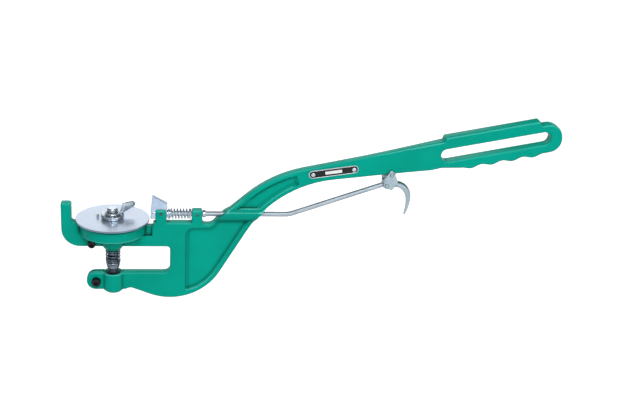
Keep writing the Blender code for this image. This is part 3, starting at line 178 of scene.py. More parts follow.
def satin_zinc_disc():
    """Zinc on a turned disc: pale lavender grey, faint rings from the lathe and cloudy plating."""
    made, tree, place = begin("satin_zinc_on_turned_disc")
    cloud = add(tree, "ShaderNodeTexNoise", {"Vector": place, "Scale": 1 / (18 * MM), "Detail": 4.0,
                                             "Roughness": 0.6})
    tone = add(tree, "ShaderNodeMapRange", {"Value": cloud, "From Min": 0.3, "From Max": 0.7})
    face = add(tree, "ShaderNodeMix", {0: tone, 6: linear("#BCCADD"), 7: linear("#D6E1EF")}, data_type="RGBA")
    # The turned edge is painted darker, as shade
    lean = add(tree, "ShaderNodeSeparateXYZ", {0: add(tree, "ShaderNodeTexCoord").outputs["Normal"]}).outputs
    rim = add(tree, "ShaderNodeMapRange", {"Value": lean["Z"], "From Min": 0.3, "From Max": 0.9,
                                           "To Min": 1.0, "To Max": 0.0})
    zinc = add(tree, "ShaderNodeMix", {0: rim, 6: face, 7: linear("#70879B")}, data_type="RGBA")
    dull = add(tree, "ShaderNodeMapRange", {"Value": cloud, "From Min": 0.3, "From Max": 0.7,
                                            "To Min": 0.28, "To Max": 0.4})
    # Lathe rings are 0.2 mm apart on the real disc and drawn at 0.9 mm to show
    centred = add(tree, "ShaderNodeMapping", {"Vector": place, "Location": (-SPINDLE.x, 0, -SPINDLE.z)})
    rings = add(tree, "ShaderNodeTexWave", {"Vector": centred, "Scale": 2 * math.pi / 20 / (0.9 * MM),
                                            "Distortion": 0.6, "Detail": 2.0, "Detail Scale": 1.2},
                wave_type="RINGS", rings_direction="Z")
    ringed = add(tree, "ShaderNodeBump", {"Height": rings.outputs["Fac"], "Distance": 0.004 * MM,
                                          "Strength": 0.6})
    return close(made, {"Base Color": zinc, "Roughness": dull, "Normal": ringed, "Metallic": 0.85})


def plated(name, dark, light, smooth, rough, cloud_mm, grain_mm, depth_mm):
    """Plated or bare steel: cloudy tone, roughness that follows it, and a fine grain in the surface."""
    made, tree, place = begin(name)
    cloud = add(tree, "ShaderNodeTexNoise", {"Vector": place, "Scale": 1 / (cloud_mm * MM), "Detail": 4.0})
    tone = add(tree, "ShaderNodeMapRange", {"Value": cloud, "From Min": 0.3, "From Max": 0.7})
    metal = add(tree, "ShaderNodeMix", {0: tone, 6: linear(dark), 7: linear(light)}, data_type="RGBA")
    dull = add(tree, "ShaderNodeMapRange", {"Value": cloud, "From Min": 0.3, "From Max": 0.7,
                                            "To Min": smooth, "To Max": rough})
    rounded = add(tree, "ShaderNodeBevel", {"Radius": 0.35 * MM}, samples=4)
    grain = add(tree, "ShaderNodeTexNoise", {"Vector": place, "Scale": 1 / (grain_mm * MM), "Detail": 3.0})
    grained = add(tree, "ShaderNodeBump", {"Height": grain, "Normal": rounded, "Distance": depth_mm * MM,
                                           "Strength": 0.5})
    return close(made, {"Base Color": metal, "Roughness": dull, "Normal": grained, "Metallic": 1.0})


def grooves_with_painted_shade(name, reach_mm):
    """Zinc over grooves: plain bright zinc above the disc, painted darker as shade in the throat below it,
    and painted shade, near black, in the root of each groove."""
    made, tree, place = begin(name)
    height = add(tree, "ShaderNodeSeparateXYZ", {0: place}).outputs["Z"]
    # Painted shade: darker below the top of the disc, fully so 12 mm down
    throat_shade = add(tree, "ShaderNodeMapRange", {"Value": height, "From Min": SPINDLE.z - 12 * MM,
                                            "From Max": SPINDLE.z,
                                            "To Min": 1.0, "To Max": 0.0})
    cloud = add(tree, "ShaderNodeTexNoise", {"Vector": place, "Scale": 1 / (4 * MM), "Detail": 4.0})
    # Painted shade in the root of each groove
    root = add(tree, "ShaderNodeAmbientOcclusion", {"Distance": reach_mm * MM}, only_local=True, samples=8)
    painted_root_shade = add(tree, "ShaderNodeMapRange", {"Value": root.outputs["AO"], "From Min": 0.55, "From Max": 0.95,
                                             "To Min": 0.75, "To Max": 0.0})
    zinc = add(tree, "ShaderNodeMix", {0: cloud, 6: linear("#B7C2CC"), 7: linear("#D6DEE6")},
               data_type="RGBA")
    shade_tone = add(tree, "ShaderNodeMix", {0: cloud, 6: linear("#6C7682"), 7: linear("#909AA6")},
               data_type="RGBA")
    coat = add(tree, "ShaderNodeMix", {0: throat_shade, 6: zinc, 7: shade_tone}, data_type="RGBA")
    metal = add(tree, "ShaderNodeMix", {0: painted_root_shade, 6: coat, 7: linear("#23282E")}, data_type="RGBA")
    dull = add(tree, "ShaderNodeMapRange", {"Value": cloud, "To Min": 0.16, "To Max": 0.34})
    return close(made, {"Base Color": metal, "Roughness": dull, "Metallic": 1.0})


def black_oxide():
    """Black oxide on a machined screw: near black, oily, with a few greyer rubbed places."""
    made, tree, place = begin("black_oxide_on_machined_screw")
    rub = add(tree, "ShaderNodeTexNoise", {"Vector": place, "Scale": 1 / (4 * MM), "Detail": 5.0})
    worn = add(tree, "ShaderNodeMapRange", {"Value": rub, "From Min": 0.45, "From Max": 0.75})
    skin_tone = add(tree, "ShaderNodeMix", {0: worn, 6: linear("#17181B"), 7: linear("#34363C")},
                    data_type="RGBA")
    dull = add(tree, "ShaderNodeMapRange", {"Value": rub, "From Min": 0.3, "From Max": 0.7,
                                            "To Min": 0.32, "To Max": 0.48})
    rounded = add(tree, "ShaderNodeBevel", {"Radius": 0.25 * MM}, samples=4)
    return close(made, {"Base Color": skin_tone, "Roughness": dull, "Normal": rounded, "Metallic": 0.7})


def plate_field():
    """Black anodised aluminium: even satin black with a fine rolled grain along the plate."""
    made, tree, place = begin("black_anodised_aluminium")
    # The grain is 0.1 mm wide on the real plate and drawn at 0.5 mm to show
    along = add(tree, "ShaderNodeMapping", {"Vector": place, "Rotation": (0, PLATE_TILT, 0),
                                            "Scale": (0.06, 1.0, 1.0)})
    grain = add(tree, "ShaderNodeTexNoise", {"Vector": along, "Scale": 1 / (0.5 * MM), "Detail": 2.0})
    black = add(tree, "ShaderNodeMix", {0: grain, 6: linear("#070808"), 7: linear("#121514")},
                data_type="RGBA")
    dull = add(tree, "ShaderNodeMapRange", {"Value": grain, "From Min": 0.3, "From Max": 0.7,
                                            "To Min": 0.34, "To Max": 0.46})
    return close(made, {"Base Color": black, "Roughness": dull, "IOR": 1.6, "Specular IOR Level": 0.2})


def plate_print():
    """Screen-printed white: slightly uneven ink with a matt skin."""
    made, tree, place = begin("white_screen_print")
    ink = add(tree, "ShaderNodeTexNoise", {"Vector": place, "Scale": 1 / (1.5 * MM), "Detail": 3.0})
    white = add(tree, "ShaderNodeMix", {0: ink, 6: linear("#D9DBDA"), 7: linear("#EEEFEE")}, data_type="RGBA")
    dull = add(tree, "ShaderNodeMapRange", {"Value": ink, "From Min": 0.3, "From Max": 0.7,
                                            "To Min": 0.5, "To Max": 0.65})
    return close(made, {"Base Color": white, "Roughness": dull, "IOR": 1.45})


ENAMEL = sea_green_enamel()
DISC_ZINC = satin_zinc_disc()
# Bright plating on turned parts: sharp reflections, slightly blue, hardly any grain
BRIGHT_ZINC = plated("bright_zinc_on_turned_steel", "#9DABB7", "#C2CDD7", 0.20, 0.30, 6.0, 0.5, 0.004)
# Milled flats under satin plating: soft, even, lavender
LATCH_ZINC = plated("satin_zinc_on_milled_steel", "#9BAEC4", "#AFC0D5", 0.28, 0.38, 9.0, 0.6, 0.006)
# Forging scale shows through the plating: duller, greener, faintly pitted
TRIGGER_ZINC = plated("dull_zinc_on_forged_steel", "#8C9FA9", "#A2B3BB", 0.34, 0.46, 7.0, 0.9, 0.02)
# Bare turned steel: neutral grey with soft reflections
SEAT_STEEL = plated("turned_mild_steel", "#99A3AE", "#B4BDC7", 0.24, 0.34, 5.0, 0.5, 0.006)
# Drawn rod under plating: smooth along its length, pale, a broad soft highlight
ROD_ZINC = plated("satin_zinc_on_drawn_rod", "#929EA7", "#A6B1BA", 0.48, 0.58, 25.0, 0.8, 0.002)
# Tempered wire: blue-black oxide that still mirrors a little
DARK_WIRE = plated("oil_tempered_spring_wire", "#4C5561", "#6E7885", 0.20, 0.30, 5.0, 0.5, 0.004)
# Plated wire: pale and bright with a blue cast
BRIGHT_WIRE = plated("bright_zinc_on_spring_wire", "#A8B4C4", "#C6D0DD", 0.30, 0.40, 5.0, 0.5, 0.004)
# Oiled pins: dark grey, half gloss
DARK_STEEL = plated("oiled_machined_steel", "#4A5058", "#666D76", 0.26, 0.38, 5.0, 0.5, 0.006)
# Bearing bronze: brown-gold, satin from running
BRONZE = plated("plain_bearing_bronze", "#8C6A3C", "#A5824F", 0.3, 0.42, 5.0, 0.5, 0.006)
# Rolled rim of the plate: clean and bright
RIM_ALUMINIUM = plated("bright_rolled_aluminium", "#B4BBBF", "#C8CED2", 0.38, 0.48, 6.0, 0.5, 0.004)
# Thread and collar zinc, with painted shade below the disc and in the groove roots
THREAD_WITH_PAINTED_SHADE = grooves_with_painted_shade("zinc_on_rolled_thread_with_painted_shade", 1.2)
COLLAR_WITH_PAINTED_SHADE = grooves_with_painted_shade("zinc_on_turned_collar_with_painted_shade", 1.6)
BLACK_OXIDE = black_oxide()
PLATE_FIELD = plate_field()
PLATE_PRINT = plate_print()


def settle(name, mesh, *nodes):
    """A finished piece that rides with its nodes' body and stands for them."""
    made = bpy.data.objects.new(name, mesh)
    bpy.context.scene.collection.objects.link(made)
    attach(made, BODY_OF[nodes[0]])
    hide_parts(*nodes)
    return made


def evened(mesh, angle):
    """Shades a mesh round up to an angle, and keeps its large flats flat by weighing normals by area."""
    mesh.shade_smooth()
    mesh.set_sharp_from_angle(angle=math.radians(angle))
    holder = bpy.data.objects.new("normals", mesh)
    bpy.context.scene.collection.objects.link(holder)
    weighing = holder.modifiers.new("weigh", "WEIGHTED_NORMAL")
    weighing.keep_sharp = True
    weighing.weight = 60
    graph = bpy.context.evaluated_depsgraph_get()
    made = bpy.data.meshes.new_from_object(holder.evaluated_get(graph))
    bpy.data.objects.remove(holder)
    return made


def copied(node):
    """A copy of a node's triangles, joined at their corners."""
    bm = bmesh.new()
    bm.from_mesh(NODES[node].data)
    bmesh.ops.remove_doubles(bm, verts=bm.verts, dist=0.001 * MM)
    mesh = bpy.data.meshes.new(f"{node}_skin")
    bm.to_mesh(mesh)
    bm.free()
    return mesh


def skin(node, made, angle=32.0):
    """A node's own shape, shaded round."""
    mesh = evened(copied(node), angle)
    mesh.materials.clear()
    mesh.materials.append(made)
    return settle(f"{node}_skin", mesh, node)


def spun(profile, sides, made, start=0.0):
    """A closed mesh turned about the spindle from (radius, height) points in millimetres."""
    bm = bmesh.new()
    verts = [bm.verts.new((radius * MM, 0, height * MM)) for radius, height in profile]
    edges = [bm.edges.new((a, b)) for a, b in zip(verts, verts[1:] + verts[:1])]
    bmesh.ops.spin(bm, geom=verts + edges, cent=(0, 0, 0), axis=(0, 0, 1), angle=2 * math.pi, steps=sides,
                   use_merge=True)
    bmesh.ops.remove_doubles(bm, verts=bm.verts, dist=0.001 * MM)
    bmesh.ops.recalc_face_normals(bm, faces=bm.faces)
    mesh = bpy.data.meshes.new("turned")
    bm.to_mesh(mesh)
    bm.free()
    mesh.transform(Matrix.Translation((SPINDLE.x, 0, 0)) @ Matrix.Rotation(start, 4, "Z"))
    mesh.materials.append(made)
    return evened(mesh, 30.0)


def open_tree(name, inputs):
    """A Geometry Nodes tree with named inputs, and the node that gives their values."""
    tree = bpy.data.node_groups.new(name, "GeometryNodeTree")
    tree.interface.new_socket("Geometry", in_out="OUTPUT", socket_type="NodeSocketGeometry")
    for label, kind in inputs:
        tree.interface.new_socket(label, in_out="INPUT", socket_type=f"NodeSocket{kind}")
    return tree, tree.nodes.new("NodeGroupInput").outputs


def close_tree(tree, geometry, made):
    """Ends a tree: instances made real, material set."""
    real = add(tree, "GeometryNodeRealizeInstances", {"Geometry": geometry})
    dressed = add(tree, "GeometryNodeSetMaterial", {"Geometry": real, "Material": made})
    add(tree, "NodeGroupOutput", {"Geometry": dressed})


def grown(tree, values):
    """The tree's result for these input values, as a plain mesh."""
    holder = bpy.data.objects.new(tree.name, bpy.data.meshes.new(tree.name))
    bpy.context.scene.collection.objects.link(holder)
    modifier = holder.modifiers.new(tree.name, "NODES")
    modifier.node_group = tree
    for item in tree.interface.items_tree:
        if item.in_out == "INPUT":
            modifier[item.identifier] = values[item.name]
    graph = bpy.context.evaluated_depsgraph_get()
    mesh = bpy.data.meshes.new_from_object(holder.evaluated_get(graph))
    holder.modifiers.remove(modifier)
    bpy.data.objects.remove(holder)
    return mesh


def coil_tree(name, made):
    """Compression spring along Z: one closed turn at each end, open turns between them."""
    tree, given = open_tree(name, (("Wire", "Float"), ("Middle Radius", "Float"), ("Turns", "Float"),
                                   ("Open Length", "Float"), ("Open From", "Float"), ("Open To", "Float")))
    rings = add(tree, "GeometryNodeCurveSpiral", {"Resolution": 32, "Rotations": given["Turns"],
                                                  "Height": 0.0,
                                                  "Start Radius": given["Middle Radius"],
                                                  "End Radius": given["Middle Radius"]})
    share = add(tree, "GeometryNodeSplineParameter")
    first = add(tree, "ShaderNodeMapRange", {"Value": share, "From Max": given["Open From"],
                                             "To Max": given["Wire"]})
    middle = add(tree, "ShaderNodeMapRange", {"Value": share, "From Min": given["Open From"],
                                              "From Max": given["Open To"], "To Max": given["Open Length"]})
    last = add(tree, "ShaderNodeMapRange", {"Value": share, "From Min": given["Open To"],
                                            "To Max": given["Wire"]})
    climbed = add(tree, "ShaderNodeMath", {0: first, 1: middle}, operation="ADD")
    height = add(tree, "ShaderNodeMath", {0: climbed, 1: last}, operation="ADD")
    lift = add(tree, "ShaderNodeCombineXYZ", {"Z": height})
    wound = add(tree, "GeometryNodeSetPosition", {"Geometry": rings, "Offset": lift})
    half = add(tree, "ShaderNodeMath", {0: given["Wire"], 1: 0.5}, operation="MULTIPLY")
    section = add(tree, "GeometryNodeCurvePrimitiveCircle", {"Resolution": 12, "Radius": half})
    wire = add(tree, "GeometryNodeCurveToMesh", {"Curve": wound, "Profile Curve": section, "Fill Caps": True})
    smooth = add(tree, "GeometryNodeSetShadeSmooth", {0: wire})
    close_tree(tree, smooth, made)
    return tree


def make_spring(node, made, wire, middle_radius, turns, start, end):
    """One spring from start to end."""
    run = end - start
    mesh = grown(coil_tree(f"{node}_coil", made), {
        "Wire": wire, "Middle Radius": middle_radius, "Turns": turns, "Open Length": run.length - 3 * wire,
        "Open From": 1 / turns, "Open To": 1 - 1 / turns})
    turn = Vector((0, 0, 1)).rotation_difference(run).to_matrix().to_4x4()
    mesh.transform(Matrix.Translation(start + run.normalized() * wire / 2) @ turn)
    spring = bpy.data.objects.new(f"{node}_wire", mesh)
    bpy.context.scene.collection.objects.link(spring)
    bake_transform(spring)
    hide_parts(node)


def make_springs():
    """Dark spring in the throat, bright one between the latch and the second lug."""
    low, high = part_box("spindle_spring")
    make_spring("spindle_spring", DARK_WIRE, 1.8 * MM, 7.4 * MM, 4.5, Vector((SPINDLE.x, 0, low.z)),
                Vector((SPINDLE.x, 0, high.z)))
    low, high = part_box("latch_spring")
    make_spring("latch_spring", BRIGHT_WIRE, 1.3 * MM, 5.3 * MM, 8.5, Vector((low.x, 0, ROD_AXIS_Z)),
                Vector((high.x, 0, ROD_AXIS_Z)))


def make_stud():
    """M12 stud: a rolled thread of 1.75 mm pitch over its whole length, run out at both chamfered ends."""
    tree, given = open_tree("stud_thread", (("Radius", "Float"), ("Length", "Float"), ("Pitch", "Float"),
                                            ("Depth", "Float"), ("Run-out From", "Float"),
                                            ("Chamfer", "Float"),
                                            ("Chamfer From", "Float"), ("Chamfer To", "Float"),
                                            ("Sides", "Int"),
                                            ("Rows", "Int")))
    bar = add(tree, "GeometryNodeMeshCylinder", {"Vertices": given["Sides"], "Side Segments": given["Rows"],
                                                 "Radius": given["Radius"], "Depth": given["Length"]})
    here = add(tree, "GeometryNodeInputPosition")
    at = add(tree, "ShaderNodeSeparateXYZ", {0: here}).outputs
    angle = add(tree, "ShaderNodeMath", {0: at["Y"], 1: at["X"]}, operation="ARCTAN2")
    turn = add(tree, "ShaderNodeMath", {0: angle, 1: 2 * math.pi}, operation="DIVIDE")
    climb = add(tree, "ShaderNodeMath", {0: at["Z"], 1: given["Pitch"]}, operation="DIVIDE")
    phase = add(tree, "ShaderNodeMath", {0: climb, 1: turn}, operation="SUBTRACT")
    flank = add(tree, "ShaderNodeMath", {0: phase, 1: 0.5}, operation="PINGPONG")
    # Crest and root are each an eighth of the pitch wide
    off_middle = add(tree, "ShaderNodeMath", {0: at["Z"]}, operation="ABSOLUTE")
    deep = add(tree, "ShaderNodeMapRange", {"Value": off_middle, "From Min": given["Run-out From"],
                                            "From Max": given["Chamfer From"], "To Min": given["Depth"],
                                            "To Max": 0.0})
    groove = add(tree, "ShaderNodeMapRange", {"Value": flank, "From Min": 1 / 16, "From Max": 7 / 16,
                                              "To Max": deep})
    lead = add(tree, "ShaderNodeMapRange", {"Value": off_middle, "From Min": given["Chamfer From"],
                                            "From Max": given["Chamfer To"], "To Max": given["Chamfer"]})
    cut = add(tree, "ShaderNodeMath", {0: groove, 1: lead}, operation="MAXIMUM")
    left = add(tree, "ShaderNodeMath", {0: given["Radius"], 1: cut}, operation="SUBTRACT")
    share = add(tree, "ShaderNodeMath", {0: left, 1: given["Radius"]}, operation="DIVIDE")
    shrink = add(tree, "ShaderNodeCombineXYZ", {"X": share, "Y": share, "Z": 1.0})
    place = add(tree, "ShaderNodeVectorMath", {0: here, 1: shrink}, operation="MULTIPLY")
    threaded = add(tree, "GeometryNodeSetPosition", {"Geometry": bar, "Position": place})
    # One row for each side lets a short diagonal run along the crest
    split = add(tree, "GeometryNodeTriangulate", {"Mesh": threaded}, quad_method="SHORTEST_DIAGONAL")
    close_tree(tree, split, THREAD_WITH_PAINTED_SHADE)
    low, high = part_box("spindle_stud")
    length, pitch, chamfer = high.z - low.z, 1.75 * MM, 1.2 * MM
    sides = 28
    mesh = grown(tree, {"Radius": 6.0 * MM, "Length": length, "Pitch": pitch, "Depth": 1.05 * MM,
                        "Run-out From": length / 2 - chamfer - 0.8 * pitch, "Chamfer": chamfer,
                        "Chamfer From": length / 2 - chamfer, "Chamfer To": length / 2,
                        "Sides": sides, "Rows": round(length / pitch * sides)})
    mesh.transform(Matrix.Translation((SPINDLE.x, 0, (low.z + high.z) / 2)))
    settle("stud_with_thread", evened(mesh, 40.0), "spindle_stud")


def make_socket_screws():
    """Two socket-head screws: straight knurl round the head, hex socket, chamfered rim, plain shank."""
    tree, given = open_tree("socket_screw", (("Head Top", "Vector"), ("Head Radius", "Float"),
                                             ("Knurl Root", "Float"), ("Knurls", "Int"), ("Socket", "Float"),
                                             ("Socket Depth", "Float"), ("Shank Radius", "Float"),
                                             ("Shank Length", "Float"), ("Shank Middle", "Vector")))
    axis = add(tree, "GeometryNodeCurvePrimitiveLine", {"End": given["Head Top"]})
    path = add(tree, "GeometryNodeResampleCurve", {"Curve": axis, "Count": 13})
    share = add(tree, "GeometryNodeSplineParameter")
    chamfer = add(tree, "ShaderNodeMapRange", {"Value": share, "From Min": 0.84, "To Min": 1.0,
                                               "To Max": 0.9})
    knurl = add(tree, "GeometryNodeCurveStar", {"Points": given["Knurls"],
                                                "Inner Radius": given["Knurl Root"],
                                                "Outer Radius": given["Head Radius"]})
    head = add(tree, "GeometryNodeCurveToMesh", {"Curve": path, "Profile Curve": knurl, "Scale": chamfer,
                                                 "Fill Caps": True})
    key = add(tree, "GeometryNodeMeshCylinder", {"Vertices": 6, "Radius": given["Socket"],
                                                 "Depth": given["Socket Depth"]})
    raised = add(tree, "GeometryNodeTransform", {"Geometry": key, "Translation": given["Head Top"]})
    drilled = add(tree, "GeometryNodeMeshBoolean", {0: head, 1: raised}, operation="DIFFERENCE",
                  solver="EXACT")
    bar = add(tree, "GeometryNodeMeshCylinder", {"Vertices": 24, "Radius": given["Shank Radius"],
                                                 "Depth": given["Shank Length"]})
    shank = add(tree, "GeometryNodeTransform", {"Geometry": bar, "Translation": given["Shank Middle"]})
    whole = add(tree, "GeometryNodeMeshBoolean", {1: drilled}, operation="UNION", solver="EXACT")
    tree.links.new(shank.outputs[0], whole.inputs[1])
    close_tree(tree, whole, BLACK_OXIDE)
    for node, shank_radius in (("pinch_screw", 3.0 * MM), ("arm_screw", 2.5 * MM)):
        low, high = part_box(node)
        head_height = 2 * shank_radius
        head_radius = 1.68 * shank_radius
        shank_length = high.y - low.y - head_height + 0.2 * MM
        mesh = grown(tree, {
            "Head Top": (0, 0, head_height), "Head Radius": head_radius, "Knurl Root": head_radius - 0.3 * MM,
            "Knurls": 36, "Socket": 0.96 * shank_radius, "Socket Depth": head_height,
            "Shank Radius": shank_radius, "Shank Length": shank_length,
            "Shank Middle": (0, 0, 0.2 * MM - shank_length / 2)})
        centre = Vector(((low.x + high.x) / 2, low.y + head_height, (low.z + high.z) / 2))
        mesh.transform(Matrix.Translation(centre) @ Matrix.Rotation(math.pi / 2, 4, "X"))
        settle(f"{node}_knurled", evened(mesh, 25.0), node)


def make_casting():
    """The casting, with a bead round the foot of its cup and a hollow flare from there into the boss."""
    top = SPINDLE.z / MM
    cup_band = [(33.0, -10.5), (33.0, -3.4), (35.1, -4.4), (35.2, -14.6)]
    cup_bead = [(35.5, -14.85), (35.65, -15.3), (35.55, -15.8), (35.1, -16.2)]
    flare = [(33.0, -16.5), (27.0, -17.2), (21.5, -18.8), (17.0, -21.2), (14.2, -24.2), (12.8, -27.4)]
    boss_foot = [(12.3, -30.2), (11.9, -32.0), (11.0, -33.4), (9.3, -34.2)]
    inside = [(9.0, -33.0), (9.0, -10.5)]
    # Half a side's turn keeps its corners clear of the casting's own
    sides = 96
    profile = cup_band + cup_bead + flare + boss_foot + inside
    ring = spun([(r, top + z) for r, z in profile], sides, ENAMEL, start=math.pi / sides)
    flare_ring = bpy.data.objects.new("cup_flare", ring)
    casting = copied("frame_casting")
    # Each flat becomes one face again, so that it shades flat
    bm = bmesh.new()
    bm.from_mesh(casting)
    bmesh.ops.dissolve_limit(bm, angle_limit=math.radians(0.2), verts=bm.verts, edges=bm.edges)
    bm.to_mesh(casting)
    bm.free()
    holder = bpy.data.objects.new("casting", casting)
    for piece in (flare_ring, holder):
        bpy.context.scene.collection.objects.link(piece)
    joined = holder.modifiers.new("join", "BOOLEAN")
    joined.operation = "UNION"
    joined.solver = "EXACT"
    joined.object = flare_ring
    graph = bpy.context.evaluated_depsgraph_get()
    mesh = bpy.data.meshes.new_from_object(holder.evaluated_get(graph))
    for piece in (holder, flare_ring):
        bpy.data.objects.remove(piece)
    mesh = evened(mesh, 24.0)
    mesh.materials.clear()
    mesh.materials.append(ENAMEL)
    settle("frame_casting_skin", mesh, "frame_casting")


def make_disc():
    """Disc with a fine turned edge and the shallow seat under the washer."""
    top = SPINDLE.z / MM
    profile = [(7.4, -0.25), (13.0, -0.25), (13.25, 0.0), (39.4, 0.0), (39.7, -0.06), (39.92, -0.22),
               (40.0, -0.5),
               (40.0, -1.5), (39.92, -1.78), (39.7, -1.94), (39.4, -2.0), (7.4, -2.0)]
    settle("disc_turned", spun([(r, top + z) for r, z in profile], 144, DISC_ZINC), "clamp_disc")


def make_spring_seat():
    """Tapered collar under the dark spring, with three turned beads down its cone."""
    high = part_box("spring_seat")[1]
    top = high.z / MM
    bore = 6.25
    profile = [(bore, 0.0), (7.8, 0.0), (7.92, -0.2), (7.92, -0.95), (7.75, -1.2), (7.15, -1.45), (7.1, -1.7),
               (7.55, -2.0), (7.62, -2.35), (7.5, -2.75), (6.9, -3.0), (6.88, -3.25), (7.18, -3.5),
               (7.25, -3.85),
               (7.12, -4.25), (6.62, -4.5), (6.6, -4.7), (6.82, -4.95), (6.86, -5.4), (6.74, -6.0),
               (bore, -6.0)]
    settle("spring_seat_turned", spun([(r, top + z) for r, z in profile], 64, COLLAR_WITH_PAINTED_SHADE), "spring_seat")


def round_ended(length, width, inset, steps=14):
    """Outline of a plate with round ends, in its own plane."""
    reach = (length - width) / 2
    radius = width / 2 - inset
    points = []
    for side in (1, -1):
        for k in range(steps + 1):
            a = side * math.pi / 2 - math.pi * k / steps
            points.append((side * reach + radius * math.cos(a), radius * math.sin(a)))
    return points


def make_nameplate():
    """Blank plate: bright raised rim, black field, one plain white bar."""
    length, width = 55.0 * MM, 9.0 * MM
    front, back = PLATE_LOW.y, PLATE_HIGH.y
    field = front + 0.12 * MM
    levels = [(back, 0.0), (front + 0.25 * MM, 0.0), (front, 0.25 * MM), (front, 0.75 * MM),
              (field, 0.85 * MM)]
    bm = bmesh.new()
    loops = []
    for depth, inset in levels:
        loops.append([bm.verts.new((x, depth, z)) for x, z in round_ended(length, width, inset)])
    for here, following in zip(loops, loops[1:]):
        for i in range(len(here)):
            j = (i + 1) % len(here)
            bm.faces.new((here[i], here[j], following[j], following[i]))
    bm.faces.new(loops[0])
    bm.faces.new(loops[-1]).material_index = 1
    half_x, half_z, corner = 9.25 * MM, 1.75 * MM, 0.5 * MM
    bar = []
    for sx, sz, start in ((1, 1, 0), (-1, 1, 90), (-1, -1, 180), (1, -1, 270)):
        for k in range(4):
            a = math.radians(start + 30 * k)
            bar.append((sx * (half_x - corner) + corner * math.cos(a), sz * (half_z - corner) + corner * math.sin(a)))
    printed = field - 0.04 * MM
    low_ring = [bm.verts.new((x, field, z)) for x, z in bar]
    top_ring = [bm.verts.new((x, printed, z)) for x, z in bar]
    for i in range(len(bar)):
        j = (i + 1) % len(bar)
        bm.faces.new((low_ring[i], low_ring[j], top_ring[j], top_ring[i])).material_index = 2
    bm.faces.new(top_ring).material_index = 2
    bm.faces.new(low_ring).material_index = 2
    bmesh.ops.recalc_face_normals(bm, faces=bm.faces)
    centre = Vector(((PLATE_LOW.x + PLATE_HIGH.x) / 2, 0, (PLATE_LOW.z + PLATE_HIGH.z) / 2))
    bmesh.ops.transform(bm, matrix=Matrix.Translation(centre) @ Matrix.Rotation(-PLATE_TILT, 4, "Y"),
                        verts=bm.verts)
    mesh = bpy.data.meshes.new("nameplate_blank")
    bm.to_mesh(mesh)
    bm.free()
    mesh = evened(mesh, 30.0)
    for made in (RIM_ALUMINIUM, PLATE_FIELD, PLATE_PRINT):
        mesh.materials.append(made)
    settle("nameplate_blank", mesh, "nameplate")


def make_rivets():
    """Two domed rivet heads on the nameplate, one tree for both."""
    left_low, left_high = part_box("nameplate_rivet_left")
    right_low, right_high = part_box("nameplate_rivet_right")
    left = (left_low + left_high) / 2
    right = (right_low + right_high) / 2
    tree, given = open_tree("plate_rivets", (("Head Radius", "Float"), ("Flattening", "Vector"),
                                             ("First", "Vector"), ("Step", "Vector")))
    dome = add(tree, "GeometryNodeMeshUVSphere", {"Segments": 24, "Rings": 12,
                                                  "Radius": given["Head Radius"]})
    faced = add(tree, "GeometryNodeTransform", {"Geometry": dome, "Rotation": (math.pi / 2, 0, 0)})
    head = add(tree, "GeometryNodeTransform", {"Geometry": faced, "Scale": given["Flattening"]})
    places = add(tree, "GeometryNodeMeshLine", {"Count": 2, "Start Location": given["First"],
                                                "Offset": given["Step"]})
    heads = add(tree, "GeometryNodeInstanceOnPoints", {"Points": places, "Instance": head})
    smooth = add(tree, "GeometryNodeSetShadeSmooth", {0: heads})
    close_tree(tree, smooth, BRIGHT_ZINC)
    head_radius, head_height = 2.4 * MM, 0.9 * MM
    mesh = grown(tree, {"Head Radius": head_radius, "Flattening": (1, head_height / head_radius, 1),
                        "First": (left.x, left_low.y + head_height, left.z), "Step": tuple(right - left)})
    settle("nameplate_rivet_heads", mesh, "nameplate_rivet_left", "nameplate_rivet_right")


def make_fittings():
    """Every other node keeps its shape, as a copy shaded round."""
    skin("thumb_nut", BRIGHT_ZINC, 40.0)
    skin("nut_washer", BRIGHT_ZINC)
    skin("disc_pin", SEAT_STEEL)
    skin("disc_sleeve", BRONZE)
    skin("latch_bolt", LATCH_ZINC)
    skin("latch_guide_pin", DARK_STEEL)
    skin("bush_lock_pin", DARK_STEEL)
    skin("rod_bush", BRONZE)
    skin("pull_rod", ROD_ZINC, 40.0)
    skin("rod_collar", SEAT_STEEL)
    skin("collar_screw", BLACK_OXIDE)
    skin("trigger", TRIGGER_ZINC, 40.0)
    skin("trigger_pivot_pin", TRIGGER_ZINC)
    skin("rod_pin", TRIGGER_ZINC)


def make_camera():
    """Camera of the photograph: a long lens above the left front, rolled a little."""
    yaw, pitch, roll = math.radians(7.5), math.radians(21.89), math.radians(3.25)
    forward = Vector((math.sin(yaw) * math.cos(pitch), math.cos(yaw) * math.cos(pitch), -math.sin(pitch)))
    level = Vector((math.cos(yaw), -math.sin(yaw), 0))
    upright = level.cross(forward)
    right = level * math.cos(roll) + upright * math.sin(roll)
    up = upright * math.cos(roll) - level * math.sin(roll)
    data = bpy.data.cameras.new("camera")
    data.sensor_fit = "HORIZONTAL"
    data.sensor_width = 36.0
    data.lens = 36.0 * 1147 / 630
    data.clip_end = 100.0
    camera = bpy.data.objects.new("camera", data)
    bpy.context.scene.collection.objects.link(camera)
    turn = Matrix((right, up, -forward)).transposed()
    camera.matrix_world = Matrix.Translation((-0.3504018, -1.172, 0.3960477)) @ turn.to_4x4()
    bpy.context.scene.camera = camera


def make_lamp(name, place, aim, width, height, power, mirrored=True):
    """A plain white soft box aimed at a point, which gloss and metal show unless told otherwise."""
    data = bpy.data.lights.new(name, "AREA")
    data.shape = "RECTANGLE"
    data.size = width
    data.size_y = height
    data.energy = power
    lamp = bpy.data.objects.new(name, data)
    bpy.context.scene.collection.objects.link(lamp)
    lamp.visible_camera = False
    lamp.visible_glossy = mirrored
    lamp.location = place
    lamp.rotation_euler = (Vector(aim) - Vector(place)).to_track_quat("-Z", "Y").to_euler()


